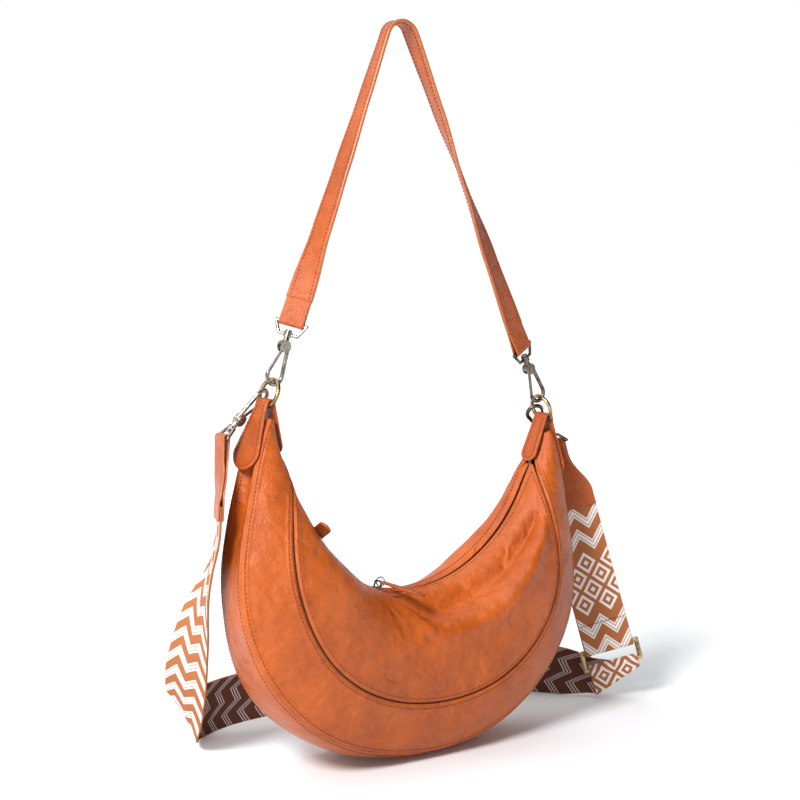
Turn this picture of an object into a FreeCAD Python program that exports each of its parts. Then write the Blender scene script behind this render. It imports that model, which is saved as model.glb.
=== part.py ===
import FreeCAD, Part
import math
import os

from FreeCAD import Vector as V

os.makedirs("parts", exist_ok=True)

# Half moon bag: a soft crescent of faux leather with a curved zip mouth, a shoulder strap on
# swivel snap hooks, and a wide woven strap that lies round the back on a second pair of hooks.
# Millimetres, X across the bag, front towards -Y, Z up, origin under the bag on the floor.
# The bag is described in a fan of half planes through its own centre: an angle from straight
# down, a radius from the centre, and a depth along Y.

# Bag as it stands
LEAN = 7.0              # the round base lets the bag roll a little to the right, degrees
FLAT_DEPTH = 1.2        # how far the base is pressed flat by the floor

# Fan stations, degrees from straight down, and the section sizes at each of them
STATIONS = (0.0, 30.0, 55.0, 82.0, 106.0)
FRONT_EDGE_R = (258.0, 257.0, 240.0, 197.0, 181.0)
FRONT_EDGE_Y = (46.0, 46.0, 38.0, 21.0, 11.0)
FRONT_TOP_Y = (74.0, 84.0, 84.0, 50.0, 14.0)
FRONT_TOP_DROP = (4.0, 10.0, 16.0, 6.0, 2.0)
FRONT_BELLY_Y = (78.0, 78.0, 70.0, 40.0, 14.0)
BELLY_INSET = (42.0, 44.0, 44.0, 18.0, 3.0)
BACK_EDGE_R = (259.0, 252.0, 218.0, 190.0, 181.0)
BACK_EDGE_Y = (42.0, 39.0, 29.0, 16.0, 10.0)
BACK_TOP_Y = (58.0, 60.0, 56.0, 36.0, 13.0)
BACK_BELLY_Y = (60.0, 58.0, 48.0, 28.0, 13.0)
GUSSET_BULGE = (10.2, 8.0, 2.0, -9.0, -2.0)
CENTRE_Z = FRONT_EDGE_R[0] + GUSSET_BULGE[0] - FLAT_DEPTH

# Shell
LEATHER = 1.6           # panel thickness
GUSSET_T = 2.6          # gusset with its backing
LINING_T = 0.8
LINING_GAP = 1.2        # between leather and lining
LINING_REACH = 88.0     # fan angle that the linings reach
LINING_FROM = 0.06      # share of the section where a side lining starts
LINING_TO = 0.94
SEAM_GAP = 1.0          # open seam between neighbouring panels
TIP_ANGLE = 106.0       # where the shell ends under the tabs

# Curved seam on the front and back, as a share of the section from lip to edge
SEAM_SHARE = 0.70
SEAM_END = 97.0

# Zip
ZIP_R = 158.0           # radius of the zip line
ZIP_RISE = 48.0         # its centre above the fan centre
ZIP_HALF = 77.0         # half angle of the zip about that centre
SLIT = 4.0              # between the two leather lips
TAPE_W = 13.0
TAPE_T = 0.8
TAPE_DEPTH = 4.4        # tape below the lips
COIL_W = 1.3
COIL_T = 1.7
COIL_SPLIT = 1.4        # between the two rows, for the slider's post
STOP_LEN = 7.0
SLIDER_LEN = 13.0
SLIDER_W = 9.0
PLATE_T = 1.0
POST_W = 0.8
ZIP_CLEAR = 0.35
BRIDGE_RISE = 7.0       # top bar of the slider above the lips
BRIDGE_WIRE = 1.8
RIGHT_SLIDER_AT = -8.0
LEFT_SLIDER_AT = -44.0
PULL_LEN = 52.0
PULL_W = 11.0
PULL_T = 2.4
PULL_LIP = 1.6          # leather before the eye of the pull
PULL_NECK = 8.0         # narrow part of the pull
PULL_SHOULDER = 16.0
PULL_CORNER = 4.0
LINK_R = 4.4
LINK_WIRE = 1.1
RIGHT_PULL_YAW = 70.0   # the pulls lie across the front lip at these angles to the zip
LEFT_PULL_YAW = 120.0
RIGHT_PULL_LIFT = -4.0
LEFT_PULL_LIFT = 0.0

# End tabs and rings
RING_R = 13.0           # to the middle of the wire
RING_WIRE = 4.0
FOLD_X = 171.0          # where the tab folds over the ring, from the fan centre
FOLD_Z = 62.0
FIT = 0.3               # between pieces that move or hang on one another
RING_ROOM = 0.6         # between the ring's wire and the fold of the tab
RIGHT_RING = 18.0       # lean of each ring from upright, degrees
LEFT_RING = 22.5
TAB_T = 2.4
TAB_TOP_W = 16.0
TAB_LOW_W = 36.0
TAB_OUT_X = 192.6       # outer foot of the tab
TAB_IN_X = 147.6        # inner foot of the tab
TAB_FOOT_Z = 2.0
TONGUE_R = 15.0
INNER_FOOT_Z = 18.0     # the tongue inside the mouth is shorter
INNER_LOW_W = 19.0
INNER_R = 8.0
TIP_FLARE = 9.0         # the tips turn out towards the tabs

# Swivel snap hooks
HOOK_WIRE = 4.0
HOOK_BOW = 8.0          # bow radius to the middle of the wire
HOOK_PIVOT = 36.0       # rivet above the lowest wire
HEAD_R = 5.6
HEAD_W = 7.0
GATE_W = 3.0
GATE_D = 3.0
GATE_END = 0.65         # gate tip short of the nose
EYE_R = 3.0
PIN_R = 1.2
PIN_FIT = 0.05
PIN_HEAD_R = 2.3
PIN_HEAD_T = 0.7
NECK_LEN = 5.0
SWIVEL_R = 2.0
SWIVEL_BLOCK_R = 4.0
SWIVEL_BLOCK_H = 5.0
SWIVEL_HEAD_R = 3.1
SWIVEL_HEAD_T = 1.4
BAIL_WIRE = 3.0
BAIL_RISE = 11.0
BAIL_LOW = 9.0          # half width at the swivel
BAIL_SIDE = 2.4         # room beside the strap in the bail

# Shoulder strap
STRAP_W = 22.0
STRAP_T = 3.2
APEX_R = 16.0
LEFT_LEG = 22.5         # lean of each leg from upright, degrees
RIGHT_LEG = 25.0
LOOP_LEN = 24.0
LEFT_TURN = (20.0, 13.0, 3.0, -6.0, -40.0)    # turn of the left leg's width from Y, apex to loop
RIGHT_TURN = (7.0, 16.0, 40.0, 64.0, 78.0)

# Woven strap
WEAVE_W = 50.0
WEAVE_T = 2.0
TAB_PLY = 1.8
WOVEN_TAB_LEN = 74.0    # leather tab from the bail to its stitched foot
BOX_RING_WIRE = 5.0
BOX_RING_ROOM = 4.0     # inside the rectangular ring beyond the weave
BOX_RING_H = 15.0
WEAVE_SLOT = 14.0       # weave held between the plies of the tab
SLOT_FIT = 0.1
WEAVE_LOOP = 20.0       # folded end of the short weave round the box ring
SHORT_LEN = 155.0       # tab's foot to the box ring
FLAP_START = 8.0        # folded end of the long weave, before it creases
FLAP_DROP = 18.0        # left edge of the flap, down to the crease
BAND_Z = WEAVE_W / 2 + 0.5
BAND_ROUTE = ((246, 56), (220, 88), (188, 112), (150, 132), (105, 152), (60, 165), (14, 172), (-33, 174),
              (-95, 168))             # the band standing on edge round the back, X and Y
RISE_ROUTE = ((V(-140, 150, BAND_Z + 1), V(-0.1, 0.05, 1)), (V(-173, 122, 34), V(-0.35, 0.28, 0.89)),
              (V(-192, 94, 66), V(-0.42, 0.35, 0.84)), (V(-205, 60, 125), V(-0.1, 0.75, 0.6)))
RISE_END = 45.0         # where the rising part turns to hang straight from the left tab
RISE_BACK = 8.0
CREASE_AWAY = V(-0.39, 0.92, 0.0)     # the band leaves the crease this way
TURN_LEN = 12.0
WOVEN_SEAT_AT = 59.0    # where the second hooks hang on the rings, degrees from the ring's foot
WOVEN_SEAT = 9.4        # ring wire above the bow of those hooks
LEFT_HANG = V(-0.738, 0.137, -0.66)
RIGHT_HANG = V(0.70, 0.20, -0.69)
LEFT_TAB_DIR = V(-0.103, -0.049, -0.993)
RIGHT_TAB_DIR = V(0.27, -0.09, -0.955)
LEFT_FOOT_W = V(-0.5, -0.86, 0.0)
RIGHT_FOOT_W = V(0.72, -0.57, 0.40)

LEAN_RAD = math.radians(LEAN)


def smooth(x, a, b):
    t = min(1.0, max(0.0, (x - a) / (b - a)))
    return t * t * (3.0 - 2.0 * t)


def at_station(values, angle):
    """Value at a fan angle, by an even cubic curve through the station values."""
    a = min(abs(angle), STATIONS[-1])
    i = 0
    while i < len(STATIONS) - 2 and a > STATIONS[i + 1]:
        i += 1

    def slope(k):
        if k == 0:
            return 0.0
        if k == len(STATIONS) - 1:
            return (values[k] - values[k - 1]) / (STATIONS[k] - STATIONS[k - 1])
        return (values[k + 1] - values[k - 1]) / (STATIONS[k + 1] - STATIONS[k - 1])

    h = STATIONS[i + 1] - STATIONS[i]
    t = (a - STATIONS[i]) / h
    low = (2 * t ** 3 - 3 * t ** 2 + 1) * values[i] + (t ** 3 - 2 * t ** 2 + t) * h * slope(i)
    high = (3 * t ** 2 - 2 * t ** 3) * values[i + 1] + (t ** 3 - t ** 2) * h * slope(i + 1)
    return low + high


def stand(x, y, z):
    """A point of the upright bag, measured from the fan centre, on the leaning bag."""
    c, s = math.cos(LEAN_RAD), math.sin(LEAN_RAD)
    return V(x * c + z * s, y, CENTRE_Z - x * s + z * c)


def fan(angle, r, y):
    a = math.radians(angle)
    return stand(r * math.sin(a), y, -r * math.cos(a))


def zip_radius(angle):
    """Fan radius of the zip line, a circle about a centre above the fan's."""
    a = math.radians(angle)
    return -ZIP_RISE * math.cos(a) + math.sqrt(ZIP_R ** 2 - (ZIP_RISE * math.sin(a)) ** 2)


def zip_point(angle, out, y):
    """A point at an angle about the zip's own centre, out past the zip line."""
    a = math.radians(angle)
    return stand((ZIP_R + out) * math.sin(a), y, ZIP_RISE - (ZIP_R + out) * math.cos(a))


def half_section(angle, t, side):
    """Lip to edge of one side as a cubic curve: lip, shoulder, belly and edge pull it."""
    front = side < 0
    edge_r = at_station(FRONT_EDGE_R if front else BACK_EDGE_R, angle)
    edge_y = at_station(FRONT_EDGE_Y if front else BACK_EDGE_Y, angle)
    top_y = at_station(FRONT_TOP_Y if front else BACK_TOP_Y, angle)
    belly_y = at_station(FRONT_BELLY_Y if front else BACK_BELLY_Y, angle)
    lip = zip_radius(angle) + TIP_FLARE * smooth(abs(angle), SEAM_END - 9.0, TIP_ANGLE)
    r = (lip, lip - at_station(FRONT_TOP_DROP, angle), edge_r - at_station(BELLY_INSET, angle), edge_r)
    y = (SLIT / 2, top_y, belly_y, edge_y)
    k = ((1 - t) ** 3, 3 * t * (1 - t) ** 2, 3 * t * t * (1 - t), t ** 3)
    return fan(angle, sum(a * b for a, b in zip(k, r)), side * sum(a * b for a, b in zip(k, y)))


def seam_share(angle):
    return SEAM_SHARE * (1.0 - min(1.0, abs(angle) / SEAM_END) ** 6)


def gusset_point(angle, s):
    """Across the gusset from the front edge (s = -1) to the back edge (s = 1)."""
    fr, br = at_station(FRONT_EDGE_R, angle), at_station(BACK_EDGE_R, angle)
    fy, by = -at_station(FRONT_EDGE_Y, angle), at_station(BACK_EDGE_Y, angle)
    m = (s + 1) / 2
    bulge = at_station(GUSSET_BULGE, angle)
    shape = 1 - abs(s) ** 3 if bulge > 0 else (1 - s * s) ** 2
    r = fr + (br - fr) * m + bulge * shape
    return fan(angle, r, fy + (by - fy) * m)


def spread(a, b, n):
    return [a + (b - a) * i / (n - 1) for i in range(n)]


def normal_at(point, u, v, du, dv):
    a = point(u + du, v).sub(point(u - du, v))
    b = point(u, v + dv).sub(point(u, v - dv))
    n = a.cross(b)
    n.normalize()
    return n


def surface(rows):
    s = Part.BSplineSurface()
    s.interpolate(rows)
    return s


def skin(outer, inner):
    """Closed solid between two grids of points."""
    a, b = surface(outer), surface(inner)
    u0, u1, v0, v1 = a.bounds()
    p0, p1, q0, q1 = b.bounds()
    faces = [a.toShape(), b.toShape()]
    ends = [(a.uIso(u0), b.uIso(p0)), (a.uIso(u1), b.uIso(p1))]
    sides = [(a.vIso(v0), b.vIso(q0)), (a.vIso(v1), b.vIso(q1))]
    for one, two in ends + sides:
        faces.append(Part.makeRuledSurface(one.toShape(), two.toShape()))
    sewn = Part.makeCompound(faces)
    sewn.sewShape(0.01)
    solid = Part.makeSolid(sewn.Shells[0])
    if solid.Volume < 0:
        solid.reverse()
    return solid


def sheet(point, us, vs, depth, thick, inward):
    """Skin of a surface function: its outer side lies depth below the surface."""
    du, dv = 0.2, 0.01
    outer, inner = [], []
    for u in us:
        p = [(point(u, v), normal_at(point, u, v, du, dv) * inward) for v in vs]
        outer.append([a + n * depth for a, n in p])
        inner.append([a + n * (depth + thick) for a, n in p])
    return skin(outer, inner)


def frame_of(origin, along, across):
    """Placement whose Z runs along and whose X is nearest to across."""
    z = V(along)
    z.normalize()
    y = z.cross(across)
    y.normalize()
    x = y.cross(z)
    return FreeCAD.Placement(FreeCAD.Matrix(x.x, y.x, z.x, origin.x, x.y, y.y, z.y, origin.y,
                                            x.z, y.z, z.z, origin.z, 0, 0, 0, 1))


def put(shape, placement):
    s = shape.copy()
    s.Placement = placement.multiply(s.Placement)
    return s


def rod(a, b, r):
    d = b.sub(a)
    return Part.makeCylinder(r, d.Length, a, d)


def strip(edges, thick):
    """Flat strap between two edge lines, given as pairs of points along it."""
    n = len(edges)
    outer, inner = [], []
    for i, (p, q) in enumerate(edges):
        a, b = edges[max(i - 1, 0)], edges[min(i + 1, n - 1)]
        up = (b[0] + b[1] - a[0] - a[1]).cross(q.sub(p))
        up.normalize()
        row = [p, (p + q) * 0.5, q]
        outer.append([r + up * (thick / 2) for r in row])
        inner.append([r - up * (thick / 2) for r in row])
    return skin(outer, inner)


def edges_of(stations):
    """Edge points of a strap through stations of centre, width direction and width."""
    n = len(stations)
    edges = []
    for i, (c, w, width) in enumerate(stations):
        ahead = stations[min(i + 1, n - 1)][0].sub(stations[max(i - 1, 0)][0])
        ahead.normalize()
        w = w.sub(ahead * w.dot(ahead))
        w.normalize()
        edges.append((c - w * (width / 2), c + w * (width / 2)))
    return edges


def ribbon(stations, thick):
    return strip(edges_of(stations), thick)


def save(name, shape):
    solids = shape.Solids
    for s in solids:
        if not s.isValid():
            print("not valid:", name)
    shape.exportStep("parts/" + name + ".step")
    print(name, len(solids), round(sum(s.Volume for s in solids) / 1000.0, 2), "cm3")


BAG_FRAME = FreeCAD.Placement(V(0, 0, CENTRE_Z), FreeCAD.Rotation(V(0, 1, 0), LEAN))
FLOOR = Part.makeBox(1200, 1200, 50, V(-600, -600, -50))


# Leather panels
fine = spread(-TIP_ANGLE, TIP_ANGLE, 33)
panel_end = SEAM_END - 1.6
upper = [panel_end * math.sin(math.radians(a)) for a in spread(-90.0, 90.0, 29)]


def seam_angle_gap(angle, side):
    """Half the seam gap as a share of the section length at this angle."""
    length = half_section(angle, 0.0, side).sub(half_section(angle, 1.0, side)).Length
    return 0.5 * SEAM_GAP / max(length, 20.0)


def upper_panel(side):
    def point(angle, v):
        return half_section(angle, v * max(0.03, seam_share(angle) - seam_angle_gap(angle, side)), side)
    return sheet(point, upper, spread(0.0, 1.0, 9), 0.0, LEATHER, -side)


def lower_band(side):
    def point(angle, v):
        t0 = seam_share(angle) + seam_angle_gap(angle, side)
        t1 = 1.0 - seam_angle_gap(angle, side)
        return half_section(angle, t0 + (t1 - t0) * v, side)
    return sheet(point, fine, spread(0.0, 1.0, 7), 0.0, LEATHER, -side)


def side_lining(side):
    def point(angle, v):
        return half_section(angle, LINING_FROM + (LINING_TO - LINING_FROM) * v, side)
    angles = spread(-LINING_REACH, LINING_REACH, 17)
    return sheet(point, angles, spread(0.0, 1.0, 7), LEATHER + LINING_GAP, LINING_T, -side)


def gusset_strip(depth, thick, reach, count, inset):
    def point(angle, s):
        half = (at_station(FRONT_EDGE_Y, angle) + at_station(BACK_EDGE_Y, angle)) / 2
        tuck = (LEATHER + FIT) * smooth(abs(angle), STATIONS[1], STATIONS[3])
        return gusset_point(angle, s * (1.0 - (inset + tuck) / half))
    return sheet(point, spread(-reach, reach, count), spread(-1.0, 1.0, 7), depth, thick, 1)


save("front_upper_panel", upper_panel(-1))
save("front_lower_band", lower_band(-1))
save("back_upper_panel", upper_panel(1))
save("back_lower_band", lower_band(1))
gusset = gusset_strip(0.0, GUSSET_T, TIP_ANGLE, 29, 2 * FIT)
save("gusset", gusset.cut(FLOOR))
save("front_lining", side_lining(-1))
save("back_lining", side_lining(1))
inner_edge = LEATHER + 2 * LINING_GAP + LINING_T
save("gusset_lining", gusset_strip(GUSSET_T + LINING_GAP, LINING_T, LINING_REACH, 17, inner_edge))


# Zip: two tapes with their coils, stops at the ends, and a slider from each side
def zip_bar(r0, r1, y0, y1, a0, a1):
    """Bar of rectangular section along the zip line between two angles."""
    def corner(r, y):
        a = math.radians(a1)
        return V((ZIP_R + r) * math.sin(a), y, ZIP_RISE - (ZIP_R + r) * math.cos(a))
    corners = [corner(r0, y0), corner(r1, y0), corner(r1, y1), corner(r0, y1), corner(r0, y0)]
    face = Part.Face(Part.makePolygon(corners))
    return put(face.revolve(V(0, 0, ZIP_RISE), V(0, 1, 0), a1 - a0), BAG_FRAME)


def zip_angle(length):
    return math.degrees(length / ZIP_R)


coil_in = COIL_SPLIT / 2
coil_r = TAPE_DEPTH + TAPE_T
for name, side in (("front", -1), ("back", 1)):
    ys = sorted((side * coil_in, side * (coil_in + TAPE_W)))
    save("zip_tape_" + name, zip_bar(TAPE_DEPTH, coil_r, ys[0], ys[1], -ZIP_HALF, ZIP_HALF))
    yc = sorted((side * coil_in, side * (coil_in + COIL_W)))
    save("zip_coil_" + name, zip_bar(coil_r, coil_r + COIL_T, yc[0], yc[1], -ZIP_HALF, ZIP_HALF))
stop = zip_angle(STOP_LEN)
stop_y = coil_in + COIL_W
stops = [zip_bar(TAPE_DEPTH - 2 * FIT, coil_r + COIL_T + PLATE_T, -stop_y, stop_y, a, a + stop)
         for a in (-ZIP_HALF - stop, ZIP_HALF)]
save("zip_end_stops", Part.makeCompound(stops))

top_out = TAPE_DEPTH - ZIP_CLEAR
low_in = coil_r + COIL_T + ZIP_CLEAR


def zip_slider(at):
    half = zip_angle(SLIDER_LEN) / 2
    bridge = half * 0.62
    wide, thin, wire = SLIDER_W / 2, POST_W / 2, BRIDGE_WIRE / 2
    s = zip_bar(top_out - PLATE_T, top_out, -wide, wide, at - half, at + half)
    s = s.fuse(zip_bar(low_in, low_in + PLATE_T, -wide, wide, at - half, at + half))
    s = s.fuse(zip_bar(top_out - PLATE_T, low_in + PLATE_T, -thin, thin, at - half * 0.4, at + half * 0.4))
    s = s.fuse(zip_bar(-BRIDGE_WIRE, top_out, -wire, wire, at - half * 0.75, at + half * 0.75))
    ends = [(zip_point(a, 0.0, 0.0), zip_point(a, -BRIDGE_RISE, 0.0)) for a in (at - bridge, at + bridge)]
    for low, high in ends:
        s = s.fuse(rod(low, high, wire)).fuse(Part.makeSphere(wire, high))
    return s.fuse(rod(ends[0][1], ends[1][1], wire)).removeSplitter()


def pull_frame(at, turn, lift):
    """Origin on the bridge bar, Z along the pull, X along its width."""
    middle = zip_point(at, -BRIDGE_RISE, 0.0)
    ahead = zip_point(at + 1.0, -BRIDGE_RISE, 0.0).sub(zip_point(at - 1.0, -BRIDGE_RISE, 0.0))
    ahead.normalize()
    up = zip_point(at, -BRIDGE_RISE - 1.0, 0.0).sub(middle)
    yaw, rise = math.radians(turn), math.radians(lift)
    flat = ahead * math.cos(yaw) + V(0, -1, 0) * math.sin(yaw)
    along = flat * math.cos(rise) + up * math.sin(rise)
    return frame_of(middle, along, flat.cross(up))


def pull_pieces(at, turn, lift):
    here = pull_frame(at, turn, lift)
    room = LINK_R - (LINK_WIRE / 2 + BRIDGE_WIRE / 2 + FIT) / math.sin(math.radians(turn)) - FIT
    link = Part.makeTorus(LINK_R, LINK_WIRE / 2, V(0, 0, room), V(1, 0, 0))
    eye = room + LINK_R
    start = eye - LINK_WIRE / 2 - FIT - PULL_LIP
    narrow, wide = PULL_W * 0.55 / 2, PULL_W / 2
    right = [V(narrow, 0, start), V(narrow, 0, start + PULL_NECK), V(wide, 0, start + PULL_SHOULDER),
             V(wide, 0, PULL_LEN - PULL_CORNER), V(wide - PULL_CORNER, 0, PULL_LEN)]
    left = [V(-p.x, 0, p.z) for p in reversed(right)]
    leather = Part.Face(Part.makePolygon(right + left + right[:1])).extrude(V(0, PULL_T, 0))
    leather.translate(V(0, -PULL_T / 2, 0))
    leather = leather.cut(Part.makeTorus(LINK_R, LINK_WIRE / 2 + FIT, V(0, 0, room), V(1, 0, 0)))
    return put(link, here), put(leather, here)


for name, at, turn, lift in (("right", RIGHT_SLIDER_AT, RIGHT_PULL_YAW, RIGHT_PULL_LIFT),
                             ("left", LEFT_SLIDER_AT, LEFT_PULL_YAW, LEFT_PULL_LIFT)):
    save("zip_slider_" + name, zip_slider(at))
    link, leather = pull_pieces(at, turn, lift)
    save("zip_pull_link_" + name, link)
    save("zip_pull_" + name, leather)


# End tabs and rings
fold_in = RING_WIRE / 2 + RING_ROOM
ring_inner = RING_R - RING_WIRE / 2
fold_to_ring = math.sqrt(ring_inner ** 2 - (TAB_TOP_W / 2) ** 2) + fold_in - FIT


def tangent(p, centre, r, turn):
    """Where the line from p touches a circle, in X and Z."""
    dx, dz = p[0] - centre[0], p[1] - centre[1]
    a = math.atan2(dz, dx) + turn * math.acos(r / math.hypot(dx, dz))
    return centre[0] + r * math.cos(a), centre[1] + r * math.sin(a)


def wedge(r, out_x, in_x, foot_z):
    """Round-topped wedge over the fold, in the X-Z plane."""
    c = (FOLD_X, FOLD_Z)
    a, b = tangent((out_x, foot_z), c, r, 1), tangent((in_x, foot_z), c, r, -1)
    top = V(c[0], 0, c[1] + r)
    edges = [Part.LineSegment(V(out_x, 0, foot_z), V(a[0], 0, a[1])).toShape(),
             Part.Arc(V(a[0], 0, a[1]), top, V(b[0], 0, b[1])).toShape(),
             Part.LineSegment(V(b[0], 0, b[1]), V(in_x, 0, foot_z)).toShape(),
             Part.LineSegment(V(in_x, 0, foot_z), V(out_x, 0, foot_z)).toShape()]
    return Part.Face(Part.Wire(edges))


def tongue(foot_z, low_w, curve, x0, x1):
    """Outline of one end of the tab, seen along X, as a bar between two places in X."""
    top, low = TAB_TOP_W / 2, low_w / 2
    high = FOLD_Z + fold_in + TAB_T + 1.0
    neck = FOLD_Z - fold_in - TAB_T
    ends = [V(x0, -low, foot_z + curve), V(x0, -top, neck), V(x0, -top, high), V(x0, top, high),
            V(x0, top, neck), V(x0, low, foot_z + curve)]
    edges = [Part.LineSegment(ends[i], ends[i + 1]).toShape() for i in range(5)]
    edges.append(Part.Arc(ends[5], V(x0, 0, foot_z), ends[0]).toShape())
    return Part.Face(Part.Wire(edges)).extrude(V(x1 - x0, 0, 0))


def end_tab(side):
    far = TAB_LOW_W
    below = 6.0
    outer = wedge(fold_in + TAB_T, TAB_OUT_X, TAB_IN_X, TAB_FOOT_Z).extrude(V(0, 2 * far, 0))
    feet = []
    for x, turn in ((TAB_OUT_X, 1), (TAB_IN_X, -1)):
        top = tangent((x, TAB_FOOT_Z), (FOLD_X, FOLD_Z), fold_in + TAB_T, turn)
        run = (x - top[0]) / (top[1] - TAB_FOOT_Z)
        feet.append(x + run * below - turn * TAB_T * math.hypot(1.0, run))
    inner = wedge(fold_in, feet[0], feet[1], TAB_FOOT_Z - below).extrude(V(0, 2 * far, 0))
    band = outer.cut(inner)
    band.translate(V(0, -far, 0))
    outside = tongue(TAB_FOOT_Z, TAB_LOW_W, TONGUE_R, FOLD_X, TAB_OUT_X + far)
    inside = tongue(INNER_FOOT_Z, INNER_LOW_W, INNER_R, TAB_IN_X - far, FOLD_X)
    tab = band.common(outside.fuse(inside))
    if side < 0:
        tab = tab.mirror(V(0, 0, 0), V(1, 0, 0))
    return put(tab, BAG_FRAME)


def leg_up(side):
    a = math.radians(LEFT_LEG if side < 0 else RIGHT_LEG)
    return V(-side * math.sin(a), 0, math.cos(a))


def ring_up(side):
    a = math.radians(LEFT_RING if side < 0 else RIGHT_RING)
    return V(-side * math.sin(a), 0, math.cos(a))


def ring_centre(side):
    return stand(side * FOLD_X, 0, FOLD_Z) + ring_up(side) * fold_to_ring


def ring(side):
    wire = Part.makeTorus(RING_R, RING_WIRE / 2, V(0, 0, 0), V(1, 0, 0))
    return put(wire, frame_of(ring_centre(side), ring_up(side), V(1, 0, 0)))


for name, side in (("left", -1), ("right", 1)):
    save("end_tab_" + name, end_tab(side))
    save("ring_" + name, ring(side))


# Swivel snap hooks, drawn with the lowest wire of the bow at the origin and the bail up along Z
neck_z = HOOK_PIVOT + HEAD_R - 2.0
post_z = neck_z + NECK_LEN
block_z = post_z + FIT
flange_z = block_z + SWIVEL_BLOCK_H + FIT
bail_low_z = block_z + SWIVEL_BLOCK_H / 2
bail_top_z = bail_low_z + BAIL_RISE
bail_half = STRAP_W / 2 + BAIL_SIDE + BAIL_WIRE / 2
leg_x, leg_z = HEAD_R - 1.0, HOOK_PIVOT - 0.5
touch_x, touch_z = tangent((leg_x, leg_z), (0.0, HOOK_BOW), HOOK_BOW, -1)


def pin_along_y(r, width, z):
    return Part.makeCylinder(r, width, V(0, -width / 2, z), V(0, 1, 0))


def hook_body():
    nose, foot = V(-touch_x, 0, touch_z), V(touch_x, 0, touch_z)
    circle = Part.Circle(nose, V(HOOK_BOW - touch_z, 0, -touch_x), HOOK_WIRE / 2).toShape()
    turn = 180.0 + 2.0 * math.degrees(math.asin((touch_z - HOOK_BOW) / HOOK_BOW))
    bow = Part.Face(Part.Wire([circle])).revolve(V(0, 0, HOOK_BOW), V(0, -1, 0), turn)
    head = pin_along_y(HEAD_R, HEAD_W, HOOK_PIVOT)
    body = head.fuse([rod(foot, V(leg_x, 0, leg_z), HOOK_WIRE / 2), bow])
    slot_w = GATE_W + 2 * FIT
    low = HOOK_PIVOT - HEAD_R - 3.0
    mouth = Part.makeBox(HEAD_R + 3.8, slot_w, HOOK_PIVOT - low, V(-HEAD_R - 2.0, -slot_w / 2, low))
    body = body.cut(pin_along_y(EYE_R + FIT, slot_w, HOOK_PIVOT)).cut(mouth)
    body = body.cut(pin_along_y(PIN_R + PIN_FIT, HEAD_W + 2.0, HOOK_PIVOT))
    neck = Part.makeCone(NECK_LEN * 0.7, NECK_LEN * 0.52, NECK_LEN, V(0, 0, neck_z))
    post = Part.makeCylinder(SWIVEL_R, flange_z - post_z + 0.2, V(0, 0, post_z - 0.1))
    flange = Part.makeCylinder(SWIVEL_HEAD_R, SWIVEL_HEAD_T, V(0, 0, flange_z))
    return body.fuse([neck, post, flange])


def hook_gate():
    pivot = V(0, 0, HOOK_PIVOT)
    reach = V(-touch_x, 0, touch_z).sub(pivot)
    end = pivot + reach * (1.0 - GATE_END / reach.Length)
    gate = rod(pivot, end, GATE_D / 2).fuse(pin_along_y(EYE_R, GATE_W, HOOK_PIVOT))
    return gate.cut(pin_along_y(PIN_R + PIN_FIT, GATE_W + 2.0, HOOK_PIVOT))


def hook_rivet():
    out = HEAD_W / 2
    pin = pin_along_y(PIN_R, HEAD_W + 2 * PIN_HEAD_T, HOOK_PIVOT)
    for y in (-out - PIN_HEAD_T, out):
        pin = pin.fuse(Part.makeCylinder(PIN_HEAD_R, PIN_HEAD_T, V(0, y, HOOK_PIVOT), V(0, 1, 0)))
    return pin


def hook_bail():
    corners = [V(-BAIL_LOW, 0, bail_low_z), V(-bail_half, 0, bail_top_z), V(bail_half, 0, bail_top_z),
               V(BAIL_LOW, 0, bail_low_z)]
    bail = Part.makeCylinder(SWIVEL_BLOCK_R, SWIVEL_BLOCK_H, V(0, 0, block_z))
    for i in range(4):
        bail = bail.fuse([rod(corners[i], corners[(i + 1) % 4], BAIL_WIRE / 2),
                          Part.makeSphere(BAIL_WIRE / 2, corners[i])])
    bore = Part.makeCylinder(SWIVEL_R + PIN_FIT, SWIVEL_BLOCK_H + 2.0, V(0, 0, block_z - 1.0))
    return bail.cut(bore).removeSplitter()


def save_hook(name, hook_frame, bail_frame):
    save(name + "_hook", put(hook_body(), hook_frame))
    save(name + "_hook_gate", put(hook_gate(), hook_frame))
    save(name + "_hook_rivet", put(hook_rivet(), hook_frame))
    save(name + "_hook_bail", put(hook_bail(), bail_frame))


def turned(u, angle):
    """Width direction of a shoulder strap leg, turned from Y towards the plane of the bag."""
    a = math.radians(angle)
    return V(0, 1, 0) * math.cos(a) + V(u.z, 0, -u.x) * math.sin(a)


def shoulder_seat(side):
    return ring_centre(side) + ring_up(side) * RING_R - leg_up(side) * ((RING_WIRE + HOOK_WIRE) / 2 + FIT)


loop_turn = {-1: LEFT_TURN, 1: RIGHT_TURN}
for name, side in (("shoulder_left", -1), ("shoulder_right", 1)):
    u = leg_up(side)
    seat = shoulder_seat(side)
    save_hook(name, frame_of(seat, u, V(1, 0, 0)), frame_of(seat, u, turned(u, loop_turn[side][-1])))


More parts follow.
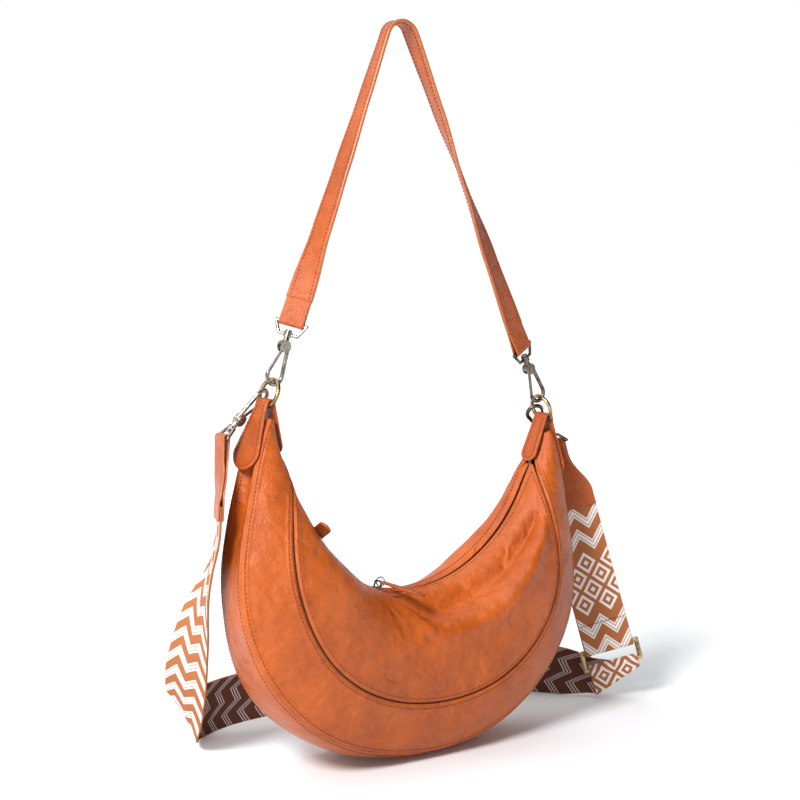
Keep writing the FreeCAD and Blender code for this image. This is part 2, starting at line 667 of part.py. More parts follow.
def folded_end(wire, ply, length, width, thick):
    """Strap end folded round a bar at the origin, closing to a flat end up along Z."""
    r_in = wire / 2 + FIT

    def teardrop(r, half, top):
        y, z = tangent((half, top), (0.0, 0.0), r, -1)
        ends = [V(0, half, top), V(0, y, z), V(0, -y, z), V(0, -half, top)]
        edges = [Part.LineSegment(ends[0], ends[1]).toShape(),
                 Part.Arc(ends[1], V(0, 0, -r), ends[2]).toShape(),
                 Part.LineSegment(ends[2], ends[3]).toShape()]
        if half > 0.0:
            edges.append(Part.LineSegment(ends[3], ends[0]).toShape())
        return Part.Face(Part.Wire(edges))

    outer = teardrop(r_in + ply, thick / 2, length).extrude(V(width, 0, 0))
    hollow = teardrop(r_in, 0.0, length * 0.6).extrude(V(width, 0, 0))
    end = outer.cut(hollow)
    end.translate(V(-width / 2, 0, 0))
    return end


# Shoulder strap: two straight legs and a tight bend, its ends folded round the bails
lap = 1.5
foot_l, foot_r = shoulder_seat(-1) + leg_up(-1) * bail_top_z, shoulder_seat(1) + leg_up(1) * bail_top_z
up_l, up_r = leg_up(-1), leg_up(1)
gap = foot_r.sub(foot_l)
cross = up_l.x * up_r.z - up_l.z * up_r.x
reach_l = (gap.x * up_r.z - gap.z * up_r.x) / cross
reach_r = (gap.x * up_l.z - gap.z * up_l.x) / cross
bend = math.radians(180.0 - LEFT_LEG - RIGHT_LEG)
cut_back = APEX_R * math.tan(bend / 2)
peak = foot_l + up_l * reach_l
out_l = V(-up_l.z, 0, up_l.x)
arc_mid = peak + up_l * -cut_back - out_l * APEX_R


def blend_turns(turns, t):
    """Turn at a share t of a leg, apex to loop, eased between the listed values."""
    k = min(int(t * (len(turns) - 1)), len(turns) - 2)
    f = t * (len(turns) - 1) - k
    f = f * f * (3.0 - 2.0 * f)
    return turns[k] + (turns[k + 1] - turns[k]) * f


def leg_stations(foot, u, reach, turns):
    """From the loop up to the start of the bend."""
    low, high = LOOP_LEN - lap, reach - cut_back
    shares = [(math.cos(math.radians(a)) + 1.0) / 2 for a in spread(0.0, 180.0, 11)]
    return [(foot + u * (high + (low - high) * t), turned(u, blend_turns(turns, t)), STRAP_W) for t in shares]


left = leg_stations(foot_l, up_l, reach_l, LEFT_TURN)
right = leg_stations(foot_r, up_r, reach_r, RIGHT_TURN)
w0, w1 = left[-1][1], right[-1][1]
arc = []
for t in spread(0.0, 1.0, 9)[1:-1]:
    a = math.radians(180.0 - LEFT_LEG) - bend * t
    out = V(math.cos(a), 0, math.sin(a))
    arc.append((arc_mid + out * APEX_R, w0 * (1.0 - t) + w1 * t, STRAP_W))
strap = ribbon(left + arc + right[::-1], STRAP_T)
for foot, u, turns in ((foot_l, up_l, LEFT_TURN), (foot_r, up_r, RIGHT_TURN)):
    end = folded_end(BAIL_WIRE, STRAP_T / 2, LOOP_LEN, STRAP_W, STRAP_T)
    strap = strap.fuse(put(end, frame_of(foot, u, turned(u, turns[-1]))))
save("shoulder_strap", strap)


# Second pair of hooks and the woven strap
def woven_seat(side):
    """Where the ring's wire carries the second hook, and the wire's direction there."""
    a = math.radians(WOVEN_SEAT_AT)
    u = ring_up(side)
    spot = ring_centre(side) + u * (-RING_R * math.cos(a)) + V(0, RING_R * math.sin(a), 0)
    return spot, u * math.sin(a) + V(0, math.cos(a), 0)


def woven_tab(bar, w_bar, down, w_foot):
    """Leather tab: folded end on the bail, widening to the weave that it holds between its plies."""
    thick = 2 * TAB_PLY + WEAVE_T
    start = LOOP_LEN * 0.7
    tab = put(folded_end(BAIL_WIRE, TAB_PLY, start, STRAP_W, thick), frame_of(bar, down, w_bar))
    stations = []
    for t in spread(0.0, 1.0, 9):
        f = smooth(t, 0.0, 0.75)
        c = bar + down * (start - lap + (WOVEN_TAB_LEN - start + lap) * t)
        stations.append((c, w_bar * (1.0 - f) + w_foot * f, STRAP_W + (WEAVE_W - STRAP_W) * f))
    slot_ends = (WOVEN_TAB_LEN - WEAVE_SLOT, WOVEN_TAB_LEN + 5.0)
    slot = [(bar + down * x, w_foot, WEAVE_W + 4.0) for x in slot_ends]
    return tab.fuse(ribbon(stations, thick)).cut(plank(slot, WEAVE_T + 2 * SLOT_FIT))


def plank(ends, thick):
    """Straight flat bar between two stations."""
    (a, w, width), (b, w, width) = ends
    bar = Part.makeBox(width, thick, b.sub(a).Length, V(-width / 2, -thick / 2, 0))
    return put(bar, frame_of(a, b.sub(a), w))


def unit(v):
    v = V(v)
    v.normalize()
    return v


hung = {}
for name, side, hang, down, w_foot in (("left", -1, LEFT_HANG, LEFT_TAB_DIR, LEFT_FOOT_W),
                                       ("right", 1, RIGHT_HANG, RIGHT_TAB_DIR, RIGHT_FOOT_W)):
    d, down = unit(hang), unit(down)
    spot, wire = woven_seat(side)
    normal = unit(wire.sub(d * wire.dot(d)))
    seat = spot - d * WOVEN_SEAT
    w = unit(down.cross(d))
    if w.y > 0:
        w = w * -1.0
    w_foot = unit(w_foot.sub(down * w_foot.dot(down)))
    save_hook("woven_" + name, frame_of(seat, d, normal.cross(d)), frame_of(seat, d, w))
    bar = seat + d * bail_top_z
    save("woven_tab_" + name, woven_tab(bar, w, down, w_foot))
    hung[name] = (bar + down * WOVEN_TAB_LEN, down, w_foot)

foot, down, w = hung["right"]
top_bar = foot + down * SHORT_LEN
low_bar = top_bar + down * (BOX_RING_H + BOX_RING_WIRE)
short_end = folded_end(BOX_RING_WIRE, WEAVE_T, WEAVE_LOOP, WEAVE_W, 2 * WEAVE_T)
short_end = put(short_end, frame_of(top_bar, down * -1.0, w))
ends = [(foot - down * (WEAVE_SLOT - SLOT_FIT), w, WEAVE_W),
        (top_bar - down * (WEAVE_LOOP - lap), w, WEAVE_W)]
save("weave_short", plank(ends, WEAVE_T).fuse(short_end))

half_ring = (WEAVE_W + BOX_RING_ROOM + BOX_RING_WIRE) / 2
corners = [top_bar - w * half_ring, top_bar + w * half_ring, low_bar + w * half_ring, low_bar - w * half_ring]
box_ring = Part.makeSphere(BOX_RING_WIRE / 2, corners[0])
for i in range(4):
    box_ring = box_ring.fuse([rod(corners[i], corners[(i + 1) % 4], BOX_RING_WIRE / 2),
                              Part.makeSphere(BOX_RING_WIRE / 2, corners[i])])
save("box_ring", box_ring.removeSplitter())

# Long weave: a creased flap under the box ring, a band on edge round the back, then up to the left tab
long_end = folded_end(BOX_RING_WIRE, WEAVE_T, FLAP_START, WEAVE_W, 2 * WEAVE_T)
long_end = put(long_end, frame_of(low_bar, down, w))
flap_top = low_bar + down * (FLAP_START - lap)
flap_in, flap_out = flap_top - w * (WEAVE_W / 2), flap_top + w * (WEAVE_W / 2)
flap_low = flap_in + down * FLAP_DROP
crease = flap_out.sub(flap_low)
away = unit(CREASE_AWAY)
rise = crease.sub(away * crease.dot(away))
turn_low = flap_low + away * TURN_LEN


def plate(corners, half):
    """Flat plate over a ring of corners, as far to both sides as half."""
    ring_of = [p - half for p in corners + corners[:1]]
    return Part.Face(Part.makePolygon(ring_of)).extrude(half * 2.0)


flap = plate([flap_in, flap_out, flap_low], w.cross(down) * (WEAVE_T / 2))
inset = unit(rise) * SLOT_FIT
past = turn_low + away * lap
turned_part = plate([flap_low + inset, flap_out - inset, past + rise - inset, past + inset],
                    unit(away.cross(rise)) * (WEAVE_T / 2 - SLOT_FIT))

route = [(turn_low + rise * 0.5, rise, rise.Length)]
route += [(V(x, y, BAND_Z), V(0, 0, 1), WEAVE_W) for x, y in BAND_ROUTE]
route += [(p, across, WEAVE_W) for p, across in RISE_ROUTE]
foot, down, w = hung["left"]
route.append((foot + down * RISE_END + V(0, RISE_BACK, 0), w * -1.0, WEAVE_W))
route += [(foot + down * x, w * -1.0, WEAVE_W) for x in (RISE_END / 3, SLOT_FIT)]
held_w = WEAVE_W - 2 * SLOT_FIT
held = plank([(foot + down * lap, w, held_w), (foot - down * (WEAVE_SLOT - SLOT_FIT), w, held_w)],
             WEAVE_T - 2 * SLOT_FIT)
folded = flap.fuse(turned_part).fuse(long_end)
save("weave_long", ribbon(route, WEAVE_T).fuse(held).fuse(folded))
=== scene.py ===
# %% [markdown]
# # A half moon bag
# The bag is a soft crescent of tan faux leather with a curved zip mouth. A short strap is
# hooked to its two end rings, and a wide woven strap lies round the back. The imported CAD
# model is loaded first and stays the frame. New shapes are worked out in its millimetres and
# become metres when a mesh is made.

# %% Load the frame
import math

import bpy
import numpy as np
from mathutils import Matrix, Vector


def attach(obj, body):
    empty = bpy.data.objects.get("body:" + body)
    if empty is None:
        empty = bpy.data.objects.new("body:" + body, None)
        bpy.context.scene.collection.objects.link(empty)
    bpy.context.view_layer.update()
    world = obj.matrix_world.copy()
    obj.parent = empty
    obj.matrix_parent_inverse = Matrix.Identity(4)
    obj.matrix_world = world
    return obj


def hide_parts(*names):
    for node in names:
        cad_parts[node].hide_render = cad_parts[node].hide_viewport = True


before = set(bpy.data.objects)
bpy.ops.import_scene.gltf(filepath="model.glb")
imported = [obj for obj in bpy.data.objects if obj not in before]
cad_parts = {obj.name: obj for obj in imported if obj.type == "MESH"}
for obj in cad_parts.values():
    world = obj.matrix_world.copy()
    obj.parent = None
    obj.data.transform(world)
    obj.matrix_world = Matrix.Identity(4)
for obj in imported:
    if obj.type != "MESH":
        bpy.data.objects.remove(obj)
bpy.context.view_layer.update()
MM = 0.001

# %% [markdown]
# ## Camera
# The camera stands to the left of the bag, a little above its middle. Its lens could be guessed,
# but it follows from the focal length and the width of the picture, both in pixels.

# %% Camera
CAMERA_AZIMUTH = math.radians(-38.7)
CAMERA_DISTANCE = 2.0
CAMERA_HEIGHT = 0.6
AIM = np.array([-0.007, 0.0, 0.34])
FOCAL_PIXELS = 2130.0
FRAME_PIXELS = 800.0
SENSOR = 36.0


def aim_object(obj, target):
    """Turns an object so that its own -Z looks at the target."""
    look = Vector(np.asarray(target) - np.array(obj.location))
    obj.rotation_euler = look.to_track_quat("-Z", "Y").to_euler()


scene = bpy.context.scene
lens = bpy.data.cameras.new("photo_camera")
lens.sensor_width = SENSOR
lens.lens = FOCAL_PIXELS / FRAME_PIXELS * SENSOR
camera = bpy.data.objects.new("photo_camera", lens)
scene.collection.objects.link(camera)
camera.location = (AIM[0] + CAMERA_DISTANCE * math.sin(CAMERA_AZIMUTH),
                   AIM[1] - CAMERA_DISTANCE * math.cos(CAMERA_AZIMUTH), CAMERA_HEIGHT)
aim_object(camera, AIM)
scene.camera = camera
print("camera at", [round(v, 3) for v in camera.location])

# %% [markdown]
# ## Lights, sky and floor
# The photograph is a studio picture on white, lit from the upper left. A white sky alone would
# light every side alike, so it is dark towards the front right, where the bag falls into shade,
# and stays white near the horizon, which is the background.

# %% Lights, sky and floor
LIGHT_AIM = (0.0, 0.0, 0.2)
LIGHTS = {"key_light": ((-2.1, -0.9, 1.9), 0.8, 98.0),
          "fill_light": ((1.7, -1.6, 1.3), 1.8, 2.0),
          "top_light": ((0.2, 0.6, 2.4), 1.6, 12.0)}
WHITE = (1.0, 1.0, 1.0, 1.0)
SHADE_FROM = (0.75, -0.62, 0.2)
SHADE_FADE = {"From Min": -0.2, "From Max": 0.55, "To Min": 1.0, "To Max": 0.0}
HORIZON_FADE = {"From Min": 0.1, "From Max": 0.2, "To Min": 1.0, "To Max": 0.0}
FLOOR_SIZE = 40.0


def add_node(tree, kind, sources=None, values=None, **settings):
    """One node: sockets linked from sources, numbers set from values, options from settings."""
    made = tree.nodes.new(kind)
    for key, value in settings.items():
        setattr(made, key, value)
    for key, value in (values or {}).items():
        made.inputs[key].default_value = value
    for key, socket in (sources or {}).items():
        tree.links.new(socket, made.inputs[key])
    return made


def map_range(tree, value, ends):
    return add_node(tree, "ShaderNodeMapRange", {"Value": value}, ends).outputs["Result"]


for name, (place, size, watts) in LIGHTS.items():
    light = bpy.data.lights.new(name, "AREA")
    light.shape, light.size, light.energy = "DISK", size, watts
    obj = bpy.data.objects.new(name, light)
    scene.collection.objects.link(obj)
    obj.location = place
    aim_object(obj, LIGHT_AIM)
world = bpy.data.worlds.new("studio")
scene.world = world
world.use_nodes = True
sky = world.node_tree
direction = add_node(sky, "ShaderNodeTexCoord").outputs["Generated"]
facing = add_node(sky, "ShaderNodeVectorMath", {0: direction}, {1: SHADE_FROM},
                  operation="DOT_PRODUCT")
upward = add_node(sky, "ShaderNodeSeparateXYZ", {"Vector": direction})
shaded = map_range(sky, facing.outputs["Value"], SHADE_FADE)
pale = map_range(sky, upward.outputs["Z"], HORIZON_FADE)
strength = add_node(sky, "ShaderNodeMath", {0: shaded, 1: pale}, operation="MAXIMUM")
background = sky.nodes["Background"].inputs
background["Color"].default_value = WHITE
sky.links.new(strength.outputs["Value"], background["Strength"])
scene.view_settings.view_transform = "Standard"

bpy.ops.mesh.primitive_plane_add(size=FLOOR_SIZE, location=(0.0, 0.0, 0.0))
floor = bpy.context.object
floor.name = "studio_floor"
print("lights:", len(LIGHTS), "floor:", FLOOR_SIZE, "m")

# %% [markdown]
# ## Plain finishes
# Thread, cloth, nylon and metal get a colour that drifts between two tones under a fine grain; on
# metal it reads as a worn patina. Pictures could be laid on them, but noise nodes in object
# coordinates, which are metres here, fit any shape. The floor's paper also glows, more so far from
# the bag, so that it takes a shadow and still runs into the sky.

# %% Plain finishes
GRAIN_DEPTH = 0.0004
METAL = {"metallic": 1.0, "grain": 500.0, "strength": 0.05}


def finish(name, colour, roughness, metallic=0.0):
    """A new material with its shader, plain until nodes are linked to it."""
    made = bpy.data.materials.new(name)
    made.use_nodes = True
    shader = made.node_tree.nodes["Principled BSDF"]
    shader.inputs["Base Color"].default_value = (*colour, 1.0)
    shader.inputs["Roughness"].default_value = roughness
    shader.inputs["Metallic"].default_value = metallic
    return made, made.node_tree, shader


def object_place(tree):
    return add_node(tree, "ShaderNodeTexCoord").outputs["Object"]


def noise(tree, place, scale, detail=3.0, roughness=0.5):
    node = add_node(tree, "ShaderNodeTexNoise", {"Vector": place},
                    {"Scale": scale, "Detail": detail, "Roughness": roughness})
    return node.outputs["Fac"]


def mix_colours(tree, share, dark, light, low=0.3, high=0.7):
    """Colour between two ends of a ramp, by a share."""
    ramp = add_node(tree, "ShaderNodeValToRGB", {"Fac": share})
    ramp.color_ramp.elements[0].position = low
    ramp.color_ramp.elements[1].position = high
    ramp.color_ramp.elements[0].color = (*dark, 1.0)
    ramp.color_ramp.elements[1].color = (*light, 1.0)
    return ramp.outputs["Color"]


def bump(tree, height, strength, distance, below=None):
    """Normals tilted by a height, on top of those of the bump below, if there is one."""
    sources = {"Height": height}
    if below is not None:
        sources["Normal"] = below
    node = add_node(tree, "ShaderNodeBump", sources, {"Strength": strength, "Distance": distance})
    return node.outputs["Normal"]


def mottled(name, dark, light, roughness, scale, metallic=0.0, grain=300.0, strength=0.15):
    """A finish whose colour drifts between two tones, at a scale, with a fine grain."""
    made, tree, shader = finish(name, light, roughness, metallic)
    place = object_place(tree)
    drift = mix_colours(tree, noise(tree, place, scale), dark, light)
    tree.links.new(drift, shader.inputs["Base Color"])
    fine = bump(tree, noise(tree, place, grain), strength, GRAIN_DEPTH)
    tree.links.new(fine, shader.inputs["Normal"])
    return made


thread = mottled("stitching_thread", (0.12, 0.024, 0.005), (0.24, 0.055, 0.012), 0.7, 900.0)
# The backing's near-black colour is painted shade: it stands for the shadow in the seam's gap.
seam_gap_shade = mottled("seam_gap_painted_shade", (0.03, 0.010, 0.005), (0.06, 0.020, 0.010), 0.8, 200.0)
lining_cloth = mottled("lining_cloth", (0.05, 0.030, 0.018), (0.09, 0.055, 0.035), 0.9, 700.0)
tape_cloth = mottled("zip_tape_cloth", (0.070, 0.024, 0.009), (0.120, 0.040, 0.015), 0.85, 1200.0)
coil_nylon = mottled("zip_coil_nylon", (0.020, 0.012, 0.009), (0.045, 0.026, 0.018), 0.4, 500.0)
edge_paint = mottled("edge_paint", (0.32, 0.080, 0.022), (0.46, 0.125, 0.038), 0.3, 400.0)
antique_brass = mottled("worn_brass", (0.16, 0.10, 0.045), (0.62, 0.46, 0.24), 0.28, 120.0, **METAL)
# The hooks are one worn metal: the lighter copy on the left hooks is painted light, the darker copy
# on the rest is painted shade.
painted_lit_metal = mottled("worn_metal_painted_lit", (0.13, 0.115, 0.10), (0.46, 0.42, 0.36), 0.24, 150.0, **METAL)
painted_shade_metal = mottled("worn_metal_painted_shade", (0.05, 0.042, 0.036), (0.24, 0.20, 0.16), 0.27, 150.0, **METAL)
print("plain finishes:", len(bpy.data.materials))

# %% Paper floor
FLOOR_GLOW = {"From Min": 0.35, "From Max": 1.5, "To Min": 0.02, "To Max": 0.6}
floor_white = mottled("paper_floor", (0.83, 0.85, 0.87), (0.87, 0.89, 0.91), 0.9, 3.0)
paper = floor_white.node_tree
away = add_node(paper, "ShaderNodeVectorMath", {0: object_place(paper)}, operation="LENGTH")
glow = map_range(paper, away.outputs["Value"], FLOOR_GLOW)
paper_inputs = paper.nodes["Principled BSDF"].inputs
paper_inputs["Emission Color"].default_value = WHITE
paper.links.new(glow, paper_inputs["Emission Strength"])
floor.data.materials.append(floor_white)
print("floor:", floor_white.name)

# %% [markdown]
# ## Leather
# The faux leather is a glossy tan with clouds and veins of colour. Its wrinkles, creases and
# pebbled grain are too fine to model, so each is a bump on the one below.

# %% Leather
TAN_DARK, TAN_LIGHT = (0.33, 0.059, 0.006), (0.52, 0.104, 0.010)
STRAP_DARK, STRAP_LIGHT = (0.27, 0.048, 0.006), (0.43, 0.084, 0.010)
LEATHER_SHINE = 0.36
VEIN_SHARE = 0.55
GLOSS = ((0.30,) * 3, (0.46,) * 3)
CREASES = {"Scale": 52.0, "Detail": 4.0, "Roughness": 0.5, "Distortion": 0.7}
PEBBLE_SCALE = 620.0


def calc(tree, operation, *terms):
    """A maths node over sockets or plain numbers."""
    node = add_node(tree, "ShaderNodeMath", operation=operation)
    for slot, term in enumerate(terms):
        if isinstance(term, (int, float)):
            node.inputs[slot].default_value = term
        else:
            tree.links.new(term, node.inputs[slot])
    return node.outputs[0]


def leather(name, dark, light):
    """Tan faux leather: broad clouds and fine veins of colour, soft creases and a pebbled grain."""
    made, tree, shader = finish(name, light, 0.4)
    shader.inputs["Specular IOR Level"].default_value = LEATHER_SHINE
    place = object_place(tree)
    clouds = noise(tree, place, 15.0, detail=5.0, roughness=0.65)
    veins = noise(tree, place, 85.0, detail=6.0, roughness=0.7)
    drift = calc(tree, "MULTIPLY_ADD", calc(tree, "SUBTRACT", veins, 0.5), VEIN_SHARE, clouds)
    colour = mix_colours(tree, drift, dark, light, low=0.28, high=0.70)
    tree.links.new(colour, shader.inputs["Base Color"])
    gloss = mix_colours(tree, noise(tree, place, 38.0), *GLOSS)
    tree.links.new(gloss, shader.inputs["Roughness"])
    soft = noise(tree, place, 48.0, detail=7.0, roughness=0.68)
    wrinkles = bump(tree, soft, strength=0.55, distance=0.006)
    ridges = add_node(tree, "ShaderNodeTexNoise", {"Vector": place}, CREASES,
                      noise_type="RIDGED_MULTIFRACTAL")
    valleys = calc(tree, "MULTIPLY", ridges.outputs["Fac"], -1.0)
    creases = bump(tree, valleys, strength=0.7, distance=0.0035, below=wrinkles)
    pebbles = add_node(tree, "ShaderNodeTexVoronoi", {"Vector": place}, {"Scale": PEBBLE_SCALE})
    fine = bump(tree, pebbles.outputs["Distance"], strength=0.14, distance=0.0005, below=creases)
    tree.links.new(fine, shader.inputs["Normal"])
    return made


tan_leather = leather("tan_leather_grained", TAN_DARK, TAN_LIGHT)
strap_leather = leather("strap_leather", STRAP_DARK, STRAP_LIGHT)
print("leathers:", tan_leather.name, strap_leather.name)

# %% [markdown]
# ## The woven pattern
# The wide strap is a jacquard weave: zigzag bands take turns with rows of nested diamonds, and the
# reverse is dark with thin pale zigzags. In object coordinates the pattern would slide over the
# bends, so maths nodes draw it on the strap's own UV map: the share across and the length in widths.

# %% Woven pattern
ZIGZAGS = 2.0
DIAMONDS = 1.7
SLANT = 0.5 / DIAMONDS
BANDS_PER_WIDTH = 2.125
ZONE = 16.0 / DIAMONDS
CHEVRON_SHARE = 0.875
CHEVRON = (0.75, 0.24)
CHEVRON_LINES = ((0.64, 0.022), (0.86, 0.022))
REVERSE_LINES = ((0.45, 0.03), (0.60, 0.03), (0.75, 0.03))
DIAMOND_LINES = ((0.335, 0.07), (0.0, 0.11))
WARP_THREADS, WEFT_THREADS = 34.0, 46.0


def woven(name, ground, figure, reverse):
    """Two-coloured cloth.

    A zigzag is the fraction of the length less a slanting share of the width. Two slopes that
    cross make squares on their points, and the larger distance from the middles makes diamonds.
    """
    made, tree, shader = finish(name, ground, 0.85)

    def m(operation, *terms):
        return calc(tree, operation, *terms)

    def near(value, *spots):
        """One where a value lies within half of a centre, for any spot (centre, half)."""
        shape = m("COMPARE", value, *spots[0])
        for spot in spots[1:]:
            shape = m("MAXIMUM", shape, m("COMPARE", value, *spot))
        return shape

    def off_middle(value):
        return m("ABSOLUTE", m("SUBTRACT", m("FRACT", value), 0.5))

    def threads(share, count):
        return m("SINE", m("MULTIPLY", share, 2.0 * math.pi * count))

    coords = add_node(tree, "ShaderNodeUVMap").outputs["UV"]
    uv = add_node(tree, "ShaderNodeSeparateXYZ", {"Vector": coords})
    across, along = uv.outputs["X"], uv.outputs["Y"]
    zig = m("PINGPONG", m("MULTIPLY", across, 2.0 * ZIGZAGS), 1.0)
    step = m("MULTIPLY_ADD", zig, -SLANT, along)
    phase = m("FRACT", m("MULTIPLY", step, BANDS_PER_WIDTH))
    if reverse:
        shape = near(phase, *REVERSE_LINES)
    else:
        chevrons = m("SUBTRACT", near(phase, CHEVRON), near(phase, *CHEVRON_LINES))
        slope, wide = m("MULTIPLY", along, DIAMONDS), m("MULTIPLY", across, ZIGZAGS)
        one, two = off_middle(m("ADD", wide, slope)), off_middle(m("SUBTRACT", wide, slope))
        diamonds = near(m("MAXIMUM", one, two), *DIAMOND_LINES)
        zone = m("LESS_THAN", m("FRACT", m("DIVIDE", step, ZONE)), CHEVRON_SHARE)
        shape = m("ADD", m("MULTIPLY", chevrons, zone),
                  m("MULTIPLY", diamonds, m("SUBTRACT", 1.0, zone)))
    colour = mix_colours(tree, shape, ground, figure, low=0.35, high=0.65)
    tree.links.new(colour, shader.inputs["Base Color"])
    weave = m("MULTIPLY", threads(across, WARP_THREADS), threads(along, WEFT_THREADS))
    tree.links.new(bump(tree, weave, strength=0.5, distance=0.0003), shader.inputs["Normal"])
    return made


weave_face = woven("weave_face", (0.40, 0.125, 0.035), (0.80, 0.78, 0.75), False)
weave_back = woven("weave_reverse", (0.085, 0.022, 0.008), (0.56, 0.47, 0.47), True)
weave_edge = mottled("weave_edge", (0.22, 0.07, 0.02), (0.38, 0.12, 0.035), 0.9, 900.0)
print("finishes:", len(bpy.data.materials))

# %% [markdown]
# ## Meshes from grids of points
# Every new piece is a grid of points worked out whole with numpy. A strap or panel is a sheet: its
# face, a rounded edge, its back and the other edge make a closed ring for each row, and the rows
# are joined into a skin. A Solidify modifier could give the thickness, but with square edges.

# %% Sheets and skins
RIM = 4


def unit(v):
    return v / np.maximum(np.linalg.norm(v, axis=-1, keepdims=True), 1e-9)


def normals(grid):
    """Unit normals of a grid, from its rows crossed with its columns."""
    return unit(np.cross(np.gradient(grid, axis=0), np.gradient(grid, axis=1)))


def run_length(grid, axis):
    """Length along rows or columns of a grid, from their start."""
    step = np.linalg.norm(np.diff(grid, axis=axis), axis=-1)
    zero = np.zeros_like(np.take(step, [0], axis=axis))
    return np.concatenate([zero, np.cumsum(step, axis=axis)], axis=axis)


def skin(rings, coords=None, kinds=None):
    """Skin over rings of points: rows follow the length, columns go round and join up.

    Returns points, quads, end faces, UV and a material number per quad, which kinds gives for each
    column. The quads are turned so that the volume they enclose is positive.
    """
    n, m = rings.shape[:2]
    i, j = np.meshgrid(np.arange(n - 1), np.arange(m), indexing="ij")
    k = (j + 1) % m
    quads = np.stack([i * m + j, i * m + k, (i + 1) * m + k, (i + 1) * m + j], -1).reshape(-1, 4)
    points = rings.reshape(-1, 3)
    a, b, c, d = (points[quads[:, q]] - points.mean(axis=0) for q in range(4))
    volume = np.sum(np.cross(c - a, d - b) * (a + b + c + d))
    ends = [np.arange(m)[::-1], np.arange((n - 1) * m, n * m)]
    if volume < 0.0:
        quads = quads[:, ::-1]
        ends = [e[::-1] for e in ends]
    kind = np.zeros(len(quads), int) if kinds is None else np.asarray(kinds)[j.reshape(-1)]
    return points, quads, ends, coords, kind


def sheet(face, out, thick, coords=None, kinds=(0, 0, 0), clear=None):
    """Skin of a sheet: the face, a half-round edge, the back and the other edge.

    The back is the face moved inwards along its normals, and each edge is half a circle. The kinds
    number the materials of face, edge and back. Points are raised to clear the floor.
    """
    turn = np.pi * np.arange(1, RIM + 1) / (RIM + 1)

    def rim(edge, n, side):
        side = unit(side - n * np.sum(side * n, axis=-1, keepdims=True))
        middle = (edge - n * thick / 2)[:, None]
        wave = n[:, None] * np.cos(turn)[:, None] + side[:, None] * np.sin(turn)[:, None]
        return middle + wave * thick / 2

    last = rim(face[:, -1], out[:, -1], face[:, -1] - face[:, -2])
    first = rim(face[:, 0], out[:, 0], face[:, 0] - face[:, 1])[:, ::-1]
    rings = np.concatenate([face, last, (face - out * thick)[:, ::-1], first], axis=1)
    if clear is not None:
        rings[..., 2] = np.maximum(rings[..., 2], clear)
    if coords is not None:
        one, two = np.repeat(coords[:, -1:], RIM, 1), np.repeat(coords[:, :1], RIM, 1)
        coords = np.concatenate([coords, one, coords[:, ::-1], two], axis=1).reshape(-1, 2)
    columns = face.shape[1]
    return skin(rings, coords, np.repeat([*kinds, kinds[1]], [columns, RIM, columns, RIM]))


print("points round an edge:", RIM)

# %% [markdown]
# ## Pieces for the frame
# A piece of the bag is one mesh object. It rides a body of the CAD model and stands for the nodes
# that it replaces, which are hidden.


def make(name, parts, materials, body, nodes=()):
    """One object from several skins, in metres, riding a body and standing for CAD nodes."""
    start, points, faces, kinds, coords = 0, [], [], [], []
    for p, quads, ends, uv, kind in parts:
        points.append(p)
        faces += (quads + start).tolist() + [(e + start).tolist() for e in ends]
        kinds.append(np.concatenate([kind, np.zeros(len(ends), int)]))
        coords.append(np.zeros((len(p), 2)) if uv is None else uv)
        start += len(p)
    points, coords = np.concatenate(points), np.concatenate(coords)
    mesh = bpy.data.meshes.new(name)
    mesh.from_pydata((points * MM).tolist(), [], faces)
    mesh.polygons.foreach_set("use_smooth", np.ones(len(faces), bool))
    mesh.polygons.foreach_set("material_index", np.concatenate(kinds).astype(np.int32))
    corner = np.empty(len(mesh.loops), np.int32)
    mesh.loops.foreach_get("vertex_index", corner)
    layer = mesh.uv_layers.new(name="UVMap")
    layer.data.foreach_set("uv", coords[corner].astype(np.float32).ravel())
    for m in materials:
        mesh.materials.append(m)
    mesh.update()
    piece = bpy.data.objects.new(name, mesh)
    scene.collection.objects.link(piece)
    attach(piece, body)
    if nodes:
        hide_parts(*nodes)
    print(name, len(points), "points")


# %% [markdown]
# ## Stitches
# Seams are sewn with thick thread, and each stitch shows as a small bead. A bump could only draw
# them, so each is a six-sided bead of a few faces, laid along its line.

# %% Stitches
STITCH_PITCH, STITCH_LEN, STITCH_W, STITCH_H = 3.8, 2.6, 1.0, 0.8
STITCH_UP = 0.1
BEAD_SIDES = 6
BEAD_SHARES = np.array([-1.0, -0.75, 0.0, 0.75, 1.0])
BEAD_TIP, BEAD_LIFT = 0.05, 0.15


